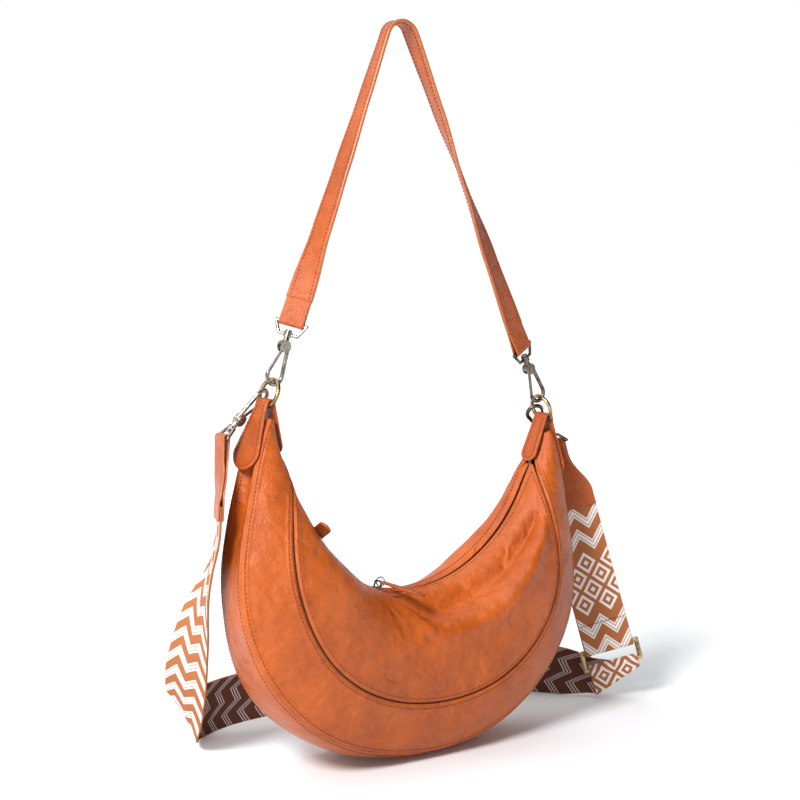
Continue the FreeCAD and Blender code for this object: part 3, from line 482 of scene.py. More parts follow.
def stitches(line, up, pitch=STITCH_PITCH):
    """A row of stitches along a line: each a bead whose size follows half a circle.

    The beads stand at equal lengths of the line, and their places and normals are read off it.
    """
    s = run_length(line[None], 1)[0]
    at = np.arange(pitch, s[-1] - pitch * 0.5, pitch)

    def read(values, where):
        return np.stack([np.interp(where, s, values[:, k]) for k in range(3)], -1)

    place = read(line, at)
    ahead = unit(read(line, at + 0.5) - place)
    n = unit(read(up, at))
    side = np.cross(n, ahead)
    ring = np.linspace(0.0, 2.0 * np.pi, BEAD_SIDES, endpoint=False)
    size = np.sqrt(np.maximum(0.0, 1.0 - BEAD_SHARES ** 2)) + BEAD_TIP
    x = np.repeat(BEAD_SHARES[:, None] * STITCH_LEN / 2, BEAD_SIDES, 1)
    y = size[:, None] * np.cos(ring) * STITCH_W / 2
    z = size[:, None] * np.sin(ring) * STITCH_H / 2 + STITCH_H * BEAD_LIFT
    cloud = (place[:, None, None] + ahead[:, None, None] * x[..., None]
             + side[:, None, None] * y[..., None] + n[:, None, None] * z[..., None])
    one = skin(cloud[0])
    count = len(one[0])
    shift = (np.arange(len(at)) * count)[:, None, None]
    quads = (one[1][None] + shift).reshape(-1, 4)
    caps = (np.stack(one[2])[None] + shift).reshape(-1, BEAD_SIDES)
    return cloud.reshape(-1, 3), quads, list(caps), None, np.zeros(len(quads), int)


print("stitch:", STITCH_LEN, "mm every", STITCH_PITCH, "mm")

# %% [markdown]
# ## The soft shell
# The bag is described in a fan: an angle from straight down, a radius from the fan's centre and a
# depth. At every angle one side is a cubic curve from the zip lip over the shoulder and belly to
# the outer edge. Cloth simulation could sag it, but a filled bag is held by its seams, and these
# curves are the CAD's own.

# %% Shell formulas
SIDE_NAMES = {-1: "front", 1: "back"}
LEAN = math.radians(7.0)
CENTRE_Z = 267.0
STATIONS = np.array([0.0, 30.0, 55.0, 82.0, 106.0])
EDGE_R = {-1: (258, 257, 240, 197, 181), 1: (259, 252, 218, 190, 181)}
EDGE_Y = {-1: (46, 46, 38, 21, 11), 1: (42, 39, 29, 16, 10)}
TOP_Y = {-1: (74, 84, 84, 50, 14), 1: (58, 60, 56, 36, 13)}
BELLY_Y = {-1: (78, 78, 70, 40, 14), 1: (60, 58, 48, 28, 13)}
TOP_DROP, BELLY_INSET = (4, 10, 16, 6, 2), (42, 44, 44, 18, 3)
ZIP_R, ZIP_RISE, ZIP_HALF, SLIT = 158.0, 48.0, 77.0, 4.0
TIP_ANGLE, SEAM_END, SEAM_SHARE = 106.0, 97.0, 0.70
TIP_FLARE, FLARE_RUN = 9.0, 9.0
LEATHER = 1.6
SWELL_WAVES = ((0.55, (0.043, 0.012, 0.031), 0.3), (0.45, (-0.031, 0.022, 0.058), 1.7),
               (0.30, (0.092, 0.031, -0.049), 2.2), (0.20, (0.143, 0.052, 0.108), 0.9))


def ease(x, low, high):
    """Nought below low, one above high and a smooth step between."""
    t = np.clip((x - low) / (high - low), 0.0, 1.0)
    return t * t * (3.0 - 2.0 * t)


def hermite(t, h, v0, v1, slope0, slope1):
    """Cubic over a step of length h, from the values and slopes at its two ends."""
    low = (2 * t ** 3 - 3 * t ** 2 + 1) * v0 + (t ** 3 - 2 * t ** 2 + t) * h * slope0
    return low + (3 * t ** 2 - 2 * t ** 3) * v1 + (t ** 3 - t ** 2) * h * slope1


def at_station(values, angle):
    """Even cubic curve through the station values, slopes taken from the neighbours."""
    v = np.asarray(values, float)
    a = np.clip(np.abs(angle), 0.0, STATIONS[-1])
    i = np.clip(np.searchsorted(STATIONS, a) - 1, 0, len(STATIONS) - 2)
    slope = np.concatenate([[0.0], (v[2:] - v[:-2]) / (STATIONS[2:] - STATIONS[:-2]),
                            [(v[-1] - v[-2]) / (STATIONS[-1] - STATIONS[-2])]])
    h = STATIONS[i + 1] - STATIONS[i]
    return hermite((a - STATIONS[i]) / h, h, v[i], v[i + 1], slope[i], slope[i + 1])


def stand(x, y, z):
    """Points of the upright bag, measured from the fan's centre, on the leaning bag."""
    c, s = math.cos(LEAN), math.sin(LEAN)
    x, y, z = np.broadcast_arrays(np.asarray(x, float), y, z)
    return np.stack([x * c + z * s, y, CENTRE_Z - x * s + z * c], -1)


def fan(angle, r, y):
    """Points at an angle from straight down, a radius and a depth."""
    a = np.radians(angle)
    return stand(r * np.sin(a), y, -r * np.cos(a))


def half_section(angle, t, side):
    """Cubic from the lip (t = 0) to the outer edge (t = 1) of one side."""
    a = np.radians(angle)
    lip = -ZIP_RISE * np.cos(a) + np.sqrt(ZIP_R ** 2 - (ZIP_RISE * np.sin(a)) ** 2)
    lip = lip + TIP_FLARE * ease(np.abs(angle), SEAM_END - FLARE_RUN, TIP_ANGLE)
    edge = at_station(EDGE_R[side], angle)
    r = (lip, lip - at_station(TOP_DROP, angle), edge - at_station(BELLY_INSET, angle), edge)
    y = (SLIT / 2, *(at_station(table[side], angle) for table in (TOP_Y, BELLY_Y, EDGE_Y)))
    k = ((1 - t) ** 3, 3 * t * (1 - t) ** 2, 3 * t * t * (1 - t), t ** 3)
    return fan(angle, sum(p * q for p, q in zip(k, r)), side * sum(p * q for p, q in zip(k, y)))


def seam_share(angle):
    """Where the seam crosses the half section: low in the middle, at the lip by the tips."""
    return SEAM_SHARE * (1.0 - np.minimum(1.0, np.abs(angle) / SEAM_END) ** 6)


def soft_swell(p):
    """Slow dents and swellings of filled leather: a sum of a few crossing waves, in millimetres."""
    return sum(size * np.sin(p @ np.array(k) + turn) for size, k, turn in SWELL_WAVES)


print("fan centre", CENTRE_Z, "mm above the floor")

# %% [markdown]
# ## Panels, bands and their seams
# Front and back are each two pieces of leather: an upper panel round the mouth and a crescent band
# below it. They meet in an open seam with a turned edge and a row of stitches on each side. Edges,
# grooves and the slack fold of the front could be sculpted; here they are heights added along the
# normals of the grid.

# %% Edges and the slack fold
TURNED_W, TURNED_UP, TURNED_FALL = 5.5, 0.8, (-1.5, 2.5)
ROLL_DOWN, ROLL_W = 1.1, 2.2
STITCH_IN, GROOVE = 3.6, 0.55
SLACK_FROM, SLACK_TO = (-24.0, 6.0), (68.0, 88.0)
CREST, CREST_RISE, CREST_DROP = 0.365, 0.09, 0.25
RISE_FROM, DROP_FROM = (60.0, 84.0), (-22.0, 8.0)
HOLLOW, HOLLOW_UP, HOLLOW_W = -13.0, 0.17, 0.095
SLACK_ROLL, ROLL_BELOW, SLACK_ROLL_W = 6.0, 0.015, 0.075


def edge_relief(distance):
    """Turned edge: a raised strip that falls off softly, with the groove of its stitches."""
    fall = ease(distance - TURNED_W, *TURNED_FALL)
    rolled = -ROLL_DOWN * (1.0 - ease(distance, 0.0, ROLL_W))
    return TURNED_UP * (1.0 - fall) + rolled - GROOVE * np.exp(-(distance - STITCH_IN) ** 2)


def front_fold(angle, t):
    """Soft fold of the slack front below the zip: a hollow and a roll below it, in millimetres.

    Both are bell curves across the crest, which starts near the zip left of the middle, falls to
    the front and moves outwards on the right.
    """
    where = ease(angle, *SLACK_FROM) * (1.0 - ease(angle, *SLACK_TO))
    drop = CREST_DROP * (1.0 - ease(angle, *DROP_FROM))
    crest = CREST + CREST_RISE * ease(angle, *RISE_FROM) - drop
    hollow = HOLLOW * np.exp(-((t - crest + HOLLOW_UP) / HOLLOW_W) ** 2)
    roll = SLACK_ROLL * np.exp(-((t - crest - ROLL_BELOW) / SLACK_ROLL_W) ** 2)
    return (hollow + roll) * where


print("slack fold:", HOLLOW, "mm deep, roll", SLACK_ROLL, "mm high")

# %% Panels
PANEL_ROWS, PANEL_COLUMNS = 240, 64
PANEL_SHORT, SEAM_ROOM = 1.6, 1.9
LEAST_REACH, LEAST_SHARE = 20.0, 0.03
EDGE_ROOM, SWELL_FADE = (6.0, 26.0), 25.0
LIP_FADE, SEAM_FADE = (0.0, 20.0), (2.0, 22.0)
LIP_W, LIP_STITCH = 10.0, 7.0
STITCH_ROOM = 2.6


def panel_grid(side, kind):
    """Face, normals and run of one panel, from its inner to its outer edge."""
    upper = kind == "upper"
    rows = np.linspace(-TIP_ANGLE, TIP_ANGLE, PANEL_ROWS)
    if upper:
        rows = (SEAM_END - PANEL_SHORT) * np.sin(np.radians(np.linspace(-90.0, 90.0, PANEL_ROWS)))
    t = np.linspace(0.0, 1.0, PANEL_COLUMNS)
    t = 0.5 * t + 0.5 * ease(t, 0.0, 1.0)
    angle = np.repeat(rows[:, None], PANEL_COLUMNS, 1)
    reach = np.linalg.norm(half_section(rows, 0.0, side) - half_section(rows, 1.0, side), axis=-1)
    gap = (0.5 * SEAM_ROOM / np.maximum(reach, LEAST_REACH))[:, None]
    seam = seam_share(rows)[:, None]
    low, high = seam + gap, 1.0 - gap
    if upper:
        low, high = 0.0 * seam, np.maximum(LEAST_SHARE, seam - gap)
    share = low + (high - low) * t[None]
    face = half_section(angle, share, side)
    out = side * normals(face)
    run = run_length(face, 1)
    left = run[:, -1:] - run
    height = soft_swell(face) * ease(run, 0.0, SWELL_FADE) * ease(left, 0.0, SWELL_FADE)
    if side < 0:
        height += front_fold(angle, share) * ease(run, *LIP_FADE) * ease(left, *SEAM_FADE)
    edges = edge_relief(run * (TURNED_W / LIP_W if upper else 1.0)) + edge_relief(left)
    height += edges * ease(run[:, -1:], *EDGE_ROOM)
    face = face + out * height[..., None]
    return face, side * normals(face), run


def row_at(grid, out, run, distance):
    """Points and normals at a distance along every row of a grid."""
    j = np.clip((run < distance[:, None]).sum(axis=1) - 1, 0, grid.shape[1] - 2)
    i = np.arange(len(grid))
    f = ((distance - run[i, j]) / np.maximum(run[i, j + 1] - run[i, j], 1e-6))[:, None]
    place = grid[i, j] * (1 - f) + grid[i, j + 1] * f
    return place, unit(out[i, j] * (1 - f) + out[i, j + 1] * f)


def edge_stitches(face, out, run, first, last, keep=slice(None)):
    """Stitches along both edges of a grid, at a distance in from each."""
    lines = (row_at(face, out, run, np.full(len(run), first)),
             row_at(face, out, run, run[:, -1] - last))
    return [stitches(p[keep] + n[keep] * STITCH_UP, n[keep]) for p, n in lines]


def panel(side, kind):
    """One panel of leather and its stitches, which stop where it gets too narrow for them."""
    face, out, run = panel_grid(side, kind)
    label = SIDE_NAMES[side] + ("_upper_panel" if kind == "upper" else "_lower_band")
    make(label + "_leather", [sheet(face, out, LEATHER)], [tan_leather], "bag", [label])
    wide = run[:, -1] > STITCH_ROOM * STITCH_IN
    first = STITCH_IN if kind == "lower" else LIP_STITCH
    made = edge_stitches(face, out, run, first, STITCH_IN, wide)
    make(label + "_stitches", made, [thread], "bag")


for side in SIDE_NAMES:
    panel(side, "upper")
    panel(side, "lower")

# %% [markdown]
# ## Gusset
# The gusset is the strip of leather between the front and back edges. It bulges round the base, is
# pressed flat where the bag stands, and tucks inwards at the horns. It is the same fan as the
# panels, so its edges meet theirs; the floor is kept clear by raising what would dip below it.

# %% Gusset
BULGE = (10.2, 8, 2, -9, -2)
GUSSET_T, GUSSET_INSET, GUSSET_STITCH = 2.6, 0.6, 4.0
GUSSET_ROWS, GUSSET_COLUMNS = 260, 40
GUSSET_SWELL, SWELL_SHIFT = 0.5, 40.0
FACE_CLEAR, FLOOR_CLEAR = 0.12, 0.1


def gusset_point(angle, s):
    """Across the gusset from the front edge (s = -1) to the back edge (s = 1)."""
    front, back = at_station(EDGE_R[-1], angle), at_station(EDGE_R[1], angle)
    near_y, far_y = -at_station(EDGE_Y[-1], angle), at_station(EDGE_Y[1], angle)
    m = (s + 1) / 2
    bulge = at_station(BULGE, angle)
    shape = np.where(bulge > 0, 1 - np.abs(s) ** 3, (1 - s * s) ** 2)
    return fan(angle, front + (back - front) * m + bulge * shape, near_y + (far_y - near_y) * m)


def gusset_grid(reach, inset, rows, columns):
    """Face and normals of the gusset out to an angle, a little in from its edges."""
    angle = np.repeat(np.linspace(-reach, reach, rows)[:, None], columns, 1)
    half = (at_station(EDGE_Y[-1], angle) + at_station(EDGE_Y[1], angle)) / 2
    tuck = inset + (LEATHER + 0.3) * ease(np.abs(angle), STATIONS[1], STATIONS[3])
    face = gusset_point(angle, np.linspace(-1.0, 1.0, columns)[None] * (1.0 - tuck / half))
    return face, -normals(face)


face, out = gusset_grid(TIP_ANGLE, GUSSET_INSET, GUSSET_ROWS, GUSSET_COLUMNS)
swell = soft_swell(face + SWELL_SHIFT) * GUSSET_SWELL
face = face + out * swell[..., None]
face[..., 2] = np.maximum(face[..., 2], FACE_CLEAR)
made = [sheet(face, out, GUSSET_T, clear=FLOOR_CLEAR)]
make("gusset_leather", made, [tan_leather], "bag", ["gusset"])
made = edge_stitches(face, out, run_length(face, 1), GUSSET_STITCH, GUSSET_STITCH)
make("gusset_stitches", made, [thread], "bag")

# %% [markdown]
# ## Backing and lining
# Behind the open seams lies a backing tape, near-black as painted shade for the shadow in the gap,
# and a plain cloth lining follows the shell on the inside. Both hardly show, so each is a thin sheet
# set in from the leather's own formula, and the front's lining gives way where the front folds in.

# %% Backing and lining
BACKING_SHORT, BACKING_HALF, BACKING_IN, BACKING_T = 3.0, 0.05, 0.25, 0.5
BACKING_ROWS, BACKING_COLUMNS = 160, 7
LINING_REACH, LINING_FROM, LINING_TO = 88.0, 0.06, 0.94
LINING_ROWS, LINING_COLUMNS, GUSSET_LINING_COLUMNS = 120, 40, 24
LINING_T, LINING_IN, GUSSET_LINING_IN, GUSSET_LINING_INSET = 0.8, 2.8, 3.8, 4.8

backing = []
for side in SIDE_NAMES:
    rows = np.linspace(-SEAM_END + BACKING_SHORT, SEAM_END - BACKING_SHORT, BACKING_ROWS)
    strip = np.linspace(-BACKING_HALF, BACKING_HALF, BACKING_COLUMNS)
    share = np.clip(seam_share(rows)[:, None] + strip[None], 0.01, 0.97)
    behind = half_section(np.repeat(rows[:, None], BACKING_COLUMNS, 1), share, side)
    n = side * normals(behind)
    backing.append(sheet(behind - n * (LEATHER + BACKING_IN), n, BACKING_T))
# The tape is coloured near-black, as painted shade in the seam's gap.
make("seam_backing_tape_painted_shade", backing, [seam_gap_shade], "bag")

for side, name in SIDE_NAMES.items():
    rows = np.linspace(-LINING_REACH, LINING_REACH, LINING_ROWS)
    angle = np.repeat(rows[:, None], LINING_COLUMNS, 1)
    share = np.linspace(LINING_FROM, LINING_TO, LINING_COLUMNS)[None]
    cloth = half_section(angle, share, side)
    n = side * normals(cloth)
    if side < 0:
        cloth = cloth + n * np.minimum(front_fold(angle, share), 0.0)[..., None]
    made = [sheet(cloth - n * LINING_IN, n, LINING_T)]
    make(name + "_lining_cloth", made, [lining_cloth], "bag", [name + "_lining"])
face, out = gusset_grid(LINING_REACH, GUSSET_LINING_INSET, LINING_ROWS, GUSSET_LINING_COLUMNS)
made = [sheet(face - out * GUSSET_LINING_IN, out, LINING_T)]
make("gusset_lining_cloth", made, [lining_cloth], "bag", ["gusset_lining"])

# %% [markdown]
# ## The zip
# Two dark tapes lie under the lips and each carries a nylon coil along its inner edge. A real coil
# is one thread wound into a spiral. A row of separate teeth would look like a metal zip, so each
# coil is a thin tube round a helix that follows the mouth.

# %% Zip
TAPE_W, TAPE_T, TAPE_DEPTH, TAPE_ROWS, TAPE_COLUMNS = 13.0, 0.8, 4.4, 120, 8
COIL_SPLIT, COIL_IN, COIL_DOWN = 1.4, 0.65, 0.85
COIL_PITCH, COIL_THREAD, COIL_WIDE, COIL_HIGH = 1.6, 0.3, 0.42, 0.6
COIL_POINTS, COIL_SIDES = 8, 5
TUBE_START = np.array([0.31, 0.87, 0.38])


def zip_point(angle, out, y):
    """Points at an angle about the zip's own centre, out past the zip line."""
    a = np.radians(angle)
    return stand((ZIP_R + out) * np.sin(a), y, ZIP_RISE - (ZIP_R + out) * np.cos(a))


def tube_round(path, radius, sides):
    """Rings of a round tube: a circle square to the path, started from a fixed slanting line."""
    ahead = unit(np.gradient(path, axis=0))
    one = unit(np.cross(ahead, TUBE_START))
    two = np.cross(ahead, one)
    turn = np.linspace(0.0, 2.0 * np.pi, sides, endpoint=False)[:, None]
    return path[:, None] + (one[:, None] * np.cos(turn) + two[:, None] * np.sin(turn)) * radius


turns = math.radians(2 * ZIP_HALF) * ZIP_R / COIL_PITCH
wind = np.linspace(0.0, turns, int(turns * COIL_POINTS))
for side, name in SIDE_NAMES.items():
    angle = np.repeat(np.linspace(-ZIP_HALF, ZIP_HALF, TAPE_ROWS)[:, None], TAPE_COLUMNS, 1)
    y = side * np.linspace(COIL_SPLIT / 2, COIL_SPLIT / 2 + TAPE_W, TAPE_COLUMNS)[None]
    face = zip_point(angle, TAPE_DEPTH, y)
    up = unit(zip_point(angle, TAPE_DEPTH - 1.0, y) - face)
    tape, coil = "zip_tape_" + name, "zip_coil_" + name
    make(tape + "_cloth", [sheet(face, up, TAPE_T)], [tape_cloth], "bag", [tape])
    path = zip_point(-ZIP_HALF + 2 * ZIP_HALF * wind / turns,
                     TAPE_DEPTH + TAPE_T + COIL_DOWN + COIL_HIGH * np.sin(2 * np.pi * wind),
                     side * (COIL_SPLIT / 2 + COIL_IN) + COIL_WIDE * np.cos(2 * np.pi * wind))
    made = [skin(tube_round(path, COIL_THREAD, COIL_SIDES))]
    make(coil + "_thread", made, [coil_nylon], "bag", [coil])

# %% [markdown]
# ## Zip pulls
# Each slider carries a wire link with a leather tongue, rounded at its end and stitched along its
# edges. It is flat, so it is a plain sheet in the frame of its slider, with its half width as a
# function of the length.

# %% Zip pulls
PULL_LEN, PULL_T, BRIDGE_RISE = 52.0, 2.4, 7.0
BRIDGE_WIRE, LINK_WIRE, LINK_R, FIT = 1.8, 1.1, 4.4, 0.3
PULL_WRAP, PULL_NECK, PULL_WIDEN, PULL_WIDEN_AT, PULL_ROUND = 1.6, 3.0, 2.5, (6.0, 16.0), 6.0
PULL_ROWS, PULL_COLUMNS = 60, 9
PULL_STITCH_IN, PULL_STITCH_HALF, PULL_PITCH = 1.5, 2.8, 3.2


def zip_pull(name, at, turn, lift):
    """Leather tongue in the frame of its slider: along the pull, across it and up."""
    middle = zip_point(at, -BRIDGE_RISE, 0.0)
    ahead = unit(zip_point(at + 1.0, -BRIDGE_RISE, 0.0) - zip_point(at - 1.0, -BRIDGE_RISE, 0.0))
    up = unit(zip_point(at, -BRIDGE_RISE - 1.0, 0.0) - middle)
    yaw, rise = math.radians(turn), math.radians(lift)
    flat = ahead * math.cos(yaw) - np.array([0.0, 1.0, 0.0]) * math.sin(yaw)
    along = flat * math.cos(rise) + up * math.sin(rise)
    across = unit(np.cross(flat, up))
    n = np.cross(across, along)
    room = LINK_R - (LINK_WIRE / 2 + BRIDGE_WIRE / 2 + FIT) / math.sin(yaw) - FIT
    start = room + LINK_R - LINK_WIRE / 2 - FIT - PULL_WRAP
    z = start + (PULL_LEN - start) * np.linspace(0.0, 1.0, PULL_ROWS) ** 0.8
    half = PULL_NECK + PULL_WIDEN * ease(z - start, *PULL_WIDEN_AT)
    past = ((z - PULL_LEN + PULL_ROUND) / PULL_ROUND).clip(0.0)
    half = half * np.sqrt(np.clip(1.0 - past ** 2, 0.003, 1.0))
    x = np.linspace(-1.0, 1.0, PULL_COLUMNS)
    flatly = middle + along * z[:, None, None] + across * (half[:, None] * x)[..., None]
    out = np.broadcast_to(n, flatly.shape)
    label, body = "zip_pull_" + name, "pull_" + name
    parts = [sheet(flatly + out * PULL_T / 2, out, PULL_T)]
    make(label + "_leather", parts, [strap_leather], body, [label])
    keep = half > PULL_STITCH_HALF
    middle_line = middle + along * z[keep, None] + n * (PULL_T / 2)
    inset = across * (half[keep, None] - PULL_STITCH_IN)
    ups = np.broadcast_to(n, inset.shape)
    made = [stitches(middle_line + s * inset, ups, PULL_PITCH) for s in (-1, 1)]
    make(label + "_stitches", made, [thread], body)


zip_pull("right", -8.0, 70.0, -4.0)
zip_pull("left", -44.0, 120.0, 0.0)

# %% [markdown]
# ## End tabs
# A leather tab folds over each ring, with a long outer tongue and a short inner one. It could be
# cut flat and bent with a modifier; here the grid follows the fold from foot to foot, and the
# width at each height gives the two rounded tongues.

# %% End tabs
FOLD_X, FOLD_Z, FOLD_R, TAB_T, TAB_TOP_W = 171.0, 62.0, 5.0, 2.4, 16.0
OUT_X, IN_X, FOOT_Z, FOOT_CLEAR = 192.6, 147.6, 2.0, 0.03
TONGUES = {"outer": (2.0, 36.0, 15.0), "inner": (18.0, 19.0, 8.0)}
TONGUE_ROWS, FOLD_ROWS, TAB_COLUMNS, TAB_LEAST = 40, 16, 13, 0.3
TAB_STITCH_IN, TAB_PITCH = 3.0, 3.4


def touch(px, pz, r, turn):
    """Where the line from a point touches a circle about the fold."""
    dx, dz = px - FOLD_X, pz - FOLD_Z
    a = math.atan2(dz, dx) + turn * math.acos(r / math.hypot(dx, dz))
    return FOLD_X + r * math.cos(a), FOLD_Z + r * math.sin(a), a


def tongue_half(z, kind, inset=0.0):
    """Half width of a tongue at a height: a taper that ends in an arc."""
    foot, low, curve = TONGUES[kind]
    neck = FOLD_Z - FOLD_R
    up = np.clip((z - foot - curve) / (neck - foot - curve), 0.0, 1.0)
    taper = low / 2 + (TAB_TOP_W - low) / 2 * up
    r = ((low / 2) ** 2 + curve ** 2) / (2 * curve)
    arc = np.sqrt(np.clip((r - inset) ** 2 - (z - foot - r) ** 2, 0.0, None))
    return np.where(z < foot + curve, np.minimum(arc, taper - inset), taper - inset)


def end_tab(side, name):
    """A tab from its outer foot over the fold to its inner foot, with stitches round both."""
    ax, az, a0 = touch(OUT_X, FOOT_Z, FOLD_R, 1)
    bx, bz, a1 = touch(IN_X, FOOT_Z, FOLD_R, -1)
    lines = {"outer": (OUT_X, ax, az, 1.0), "inner": (IN_X, bx, bz, -1.0)}

    def across_at(kind, z):
        low, high, top, _ = lines[kind]
        return low + (high - low) * (z - FOOT_Z) / (top - FOOT_Z)

    def heights(kind, share):
        low = TONGUES[kind][0] + FOOT_CLEAR
        return low + (lines[kind][2] - low) * share

    f = np.linspace(0.0, 1.0, TONGUE_ROWS) ** 1.6
    z0, z2 = heights("outer", f), heights("inner", f[::-1])
    a = np.linspace(a0, a1 if a1 > a0 else a1 + 2 * math.pi, FOLD_ROWS)[1:-1]
    x = np.concatenate([across_at("outer", z0), FOLD_X + FOLD_R * np.cos(a), across_at("inner", z2)])
    z = np.concatenate([z0, FOLD_Z + FOLD_R * np.sin(a), z2])
    half = np.concatenate([tongue_half(z0, "outer"), np.full(len(a), TAB_TOP_W / 2),
                           tongue_half(z2, "inner")])
    width = np.maximum(half, TAB_LEAST)[:, None] * np.linspace(-1.0, 1.0, TAB_COLUMNS)
    face = stand(side * x[:, None], width, z[:, None])
    out = normals(face)
    inside = stand(side * FOLD_X, 0.0, FOLD_Z - 20.0)
    probe = (len(z0) + len(a), TAB_COLUMNS // 2)
    out = out * np.sign(np.sum(out[probe] * (face[probe] - inside)))
    label = "end_tab_" + name
    make(label + "_leather", [sheet(face, out, TAB_T)], [strap_leather], "bag", [label])
    rows = []
    for kind, (low, high, top, outward) in lines.items():
        zs = np.linspace(TONGUES[kind][0] + TAB_STITCH_IN, top, 60)
        reach = tongue_half(zs, kind, TAB_STITCH_IN)
        xs = side * across_at(kind, zs)
        line = np.concatenate([stand(xs, -reach, zs)[::-1], stand(xs, reach, zs)])
        n = np.array([top - FOOT_Z, 0.0, low - high]) * outward
        n = unit(stand(side * n[0], 0.0, n[2]) - stand(0.0, 0.0, 0.0))
        rows.append(stitches(line + n * STITCH_UP, np.broadcast_to(n, line.shape), TAB_PITCH))
    make(label + "_stitches", rows, [thread], "bag")


end_tab(-1, "left")
end_tab(1, "right")

# %% [markdown]
# ## Strap formulas
# A strap is a flat band: a path, a width direction at every point of it and a thickness. Its end
# is folded round a bar, which gives a teardrop path. The bars belong to the CAD hooks, so their
# places are worked out from the ring and the hook's seat on it.

# %% Strap formulas
RING_R, RING_WIRE, HOOK_WIRE = 13.0, 4.0, 4.0
LEG = {-1: math.radians(22.5), 1: math.radians(25.0)}
RING_LEAN = {-1: math.radians(22.5), 1: math.radians(18.0)}
BAIL_TOP, BAIL_WIRE = 58.4, 3.0
Y_AXIS = np.array([0.0, 1.0, 0.0])
LOOP_ROWS = 12


def lean_up(side, angle):
    """Direction up and towards the middle, at an angle from upright."""
    return np.array([-side * math.sin(angle), 0.0, math.cos(angle)])


def ring_centre(side):
    chord = math.sqrt((RING_R - RING_WIRE / 2) ** 2 - (TAB_TOP_W / 2) ** 2)
    up = lean_up(side, RING_LEAN[side])
    return stand(side * FOLD_X, 0.0, FOLD_Z) + up * (chord + FOLD_R - TAB_T - FIT)


def bail_bar(side):
    """Middle of the bar that carries the strap, up the leg from the hook's seat on the ring."""
    up = lean_up(side, LEG[side])
    top = ring_centre(side) + lean_up(side, RING_LEAN[side]) * RING_R
    return top - up * ((RING_WIRE + HOOK_WIRE) / 2 + FIT) + up * BAIL_TOP


def band_along(path, width_dir, width, thick, columns=11, flip=1.0):
    """Face, normals and UV of a strap along a path.

    The face spreads from the path along the width direction, made square to the path. UV is the
    share across and the length in widths.
    """
    ahead = unit(np.gradient(path, axis=0))
    w = unit(width_dir - ahead * np.sum(width_dir * ahead, axis=-1, keepdims=True))
    n = np.cross(w, ahead) * flip
    x = np.linspace(-0.5, 0.5, columns)
    width = np.broadcast_to(np.asarray(width, float), len(path))
    face = path[:, None] + w[:, None] * (width[:, None] * x)[..., None] + n[:, None] * (thick / 2)
    along = run_length(path[None], 1)[0] / width
    coords = np.stack(np.broadcast_arrays(x[None] + 0.5, along[:, None]), -1)
    return face, np.repeat(n[:, None], columns, 1), coords


def loop_path(r, half, top):
    """Teardrop in a plane: a line to the circle about the bar, round it, and a line back."""
    a = math.atan2(top, half) - math.acos(r / math.hypot(top, half))
    turn = np.linspace(a, -math.pi - a, 2 * LOOP_ROWS)
    line = np.linspace(0.0, 1.0, LOOP_ROWS)[:-1, None]
    start, stop = np.array([half, top]), np.array([r * math.cos(a), r * math.sin(a)])
    down = start + (stop - start) * line
    circle = np.stack([r * np.cos(turn), r * np.sin(turn)], -1)
    return np.concatenate([down, circle, down[::-1] * [-1.0, 1.0]])


bars = {s: bail_bar(s) for s in (-1, 1)}
print("strap bars at", [bars[s].round(1).tolist() for s in bars])

# %% [markdown]
# ## Shoulder strap
# The short strap is two plies of leather sewn edge to edge. It stands up in two legs with a tight
# bend at the top, and each end is folded round the bail of its hook. A bevelled curve could make
# it, but its twist is hard to hold, and the photograph shows one leg broad and one nearly on edge.

# %% Shoulder strap
STRAP_W, STRAP_T, APEX_R, LOOP_LEN = 22.0, 3.2, 16.0, 24.0
STRAP_PLY, PLY_HALF, PAINTED = 1.6, 0.8, (0, 1, 0)
LOOP_OVERLAP, LEG_ROWS, BEND_ROWS = 1.5, 110, 40
CROWN, STRAP_SWELL, STRAP_STITCH_UP = 0.35, 0.2, 0.25
TURN = {-1: np.radians([20.0, 13.0, 3.0, -6.0, -40.0]),
        1: np.radians([7.0, 16.0, 40.0, 64.0, 78.0])}


def turned(u, angle):
    """Width direction of a leg, turned from Y towards the plane of the bag."""
    in_plane = np.array([u[2], 0.0, -u[0]])
    return Y_AXIS * np.cos(angle)[..., None] + in_plane * np.sin(angle)[..., None]


def leg_turn(turns, t):
    """Turn along a leg, eased from each of the given turns to the next."""
    k = np.clip((t * (len(turns) - 1)).astype(int), 0, len(turns) - 2)
    return turns[k] + (turns[k + 1] - turns[k]) * ease(t * (len(turns) - 1) - k, 0.0, 1.0)


def folded_loop(bar, along, w):
    """Strap end folded round a bar: a band whose path is the teardrop."""
    flat = loop_path(BAIL_WIRE / 2 + FIT + STRAP_PLY / 2, PLY_HALF, LOOP_LEN)
    path = bar + np.cross(w, along) * flat[:, :1] + along * flat[:, 1:]
    return band_along(path, np.broadcast_to(w, path.shape), STRAP_W, STRAP_PLY)


def meet(span, u):
    """How far up a leg the two lines of the legs meet, from their span and the other leg."""
    return (span[0] * u[2] - span[2] * u[0]) / cross


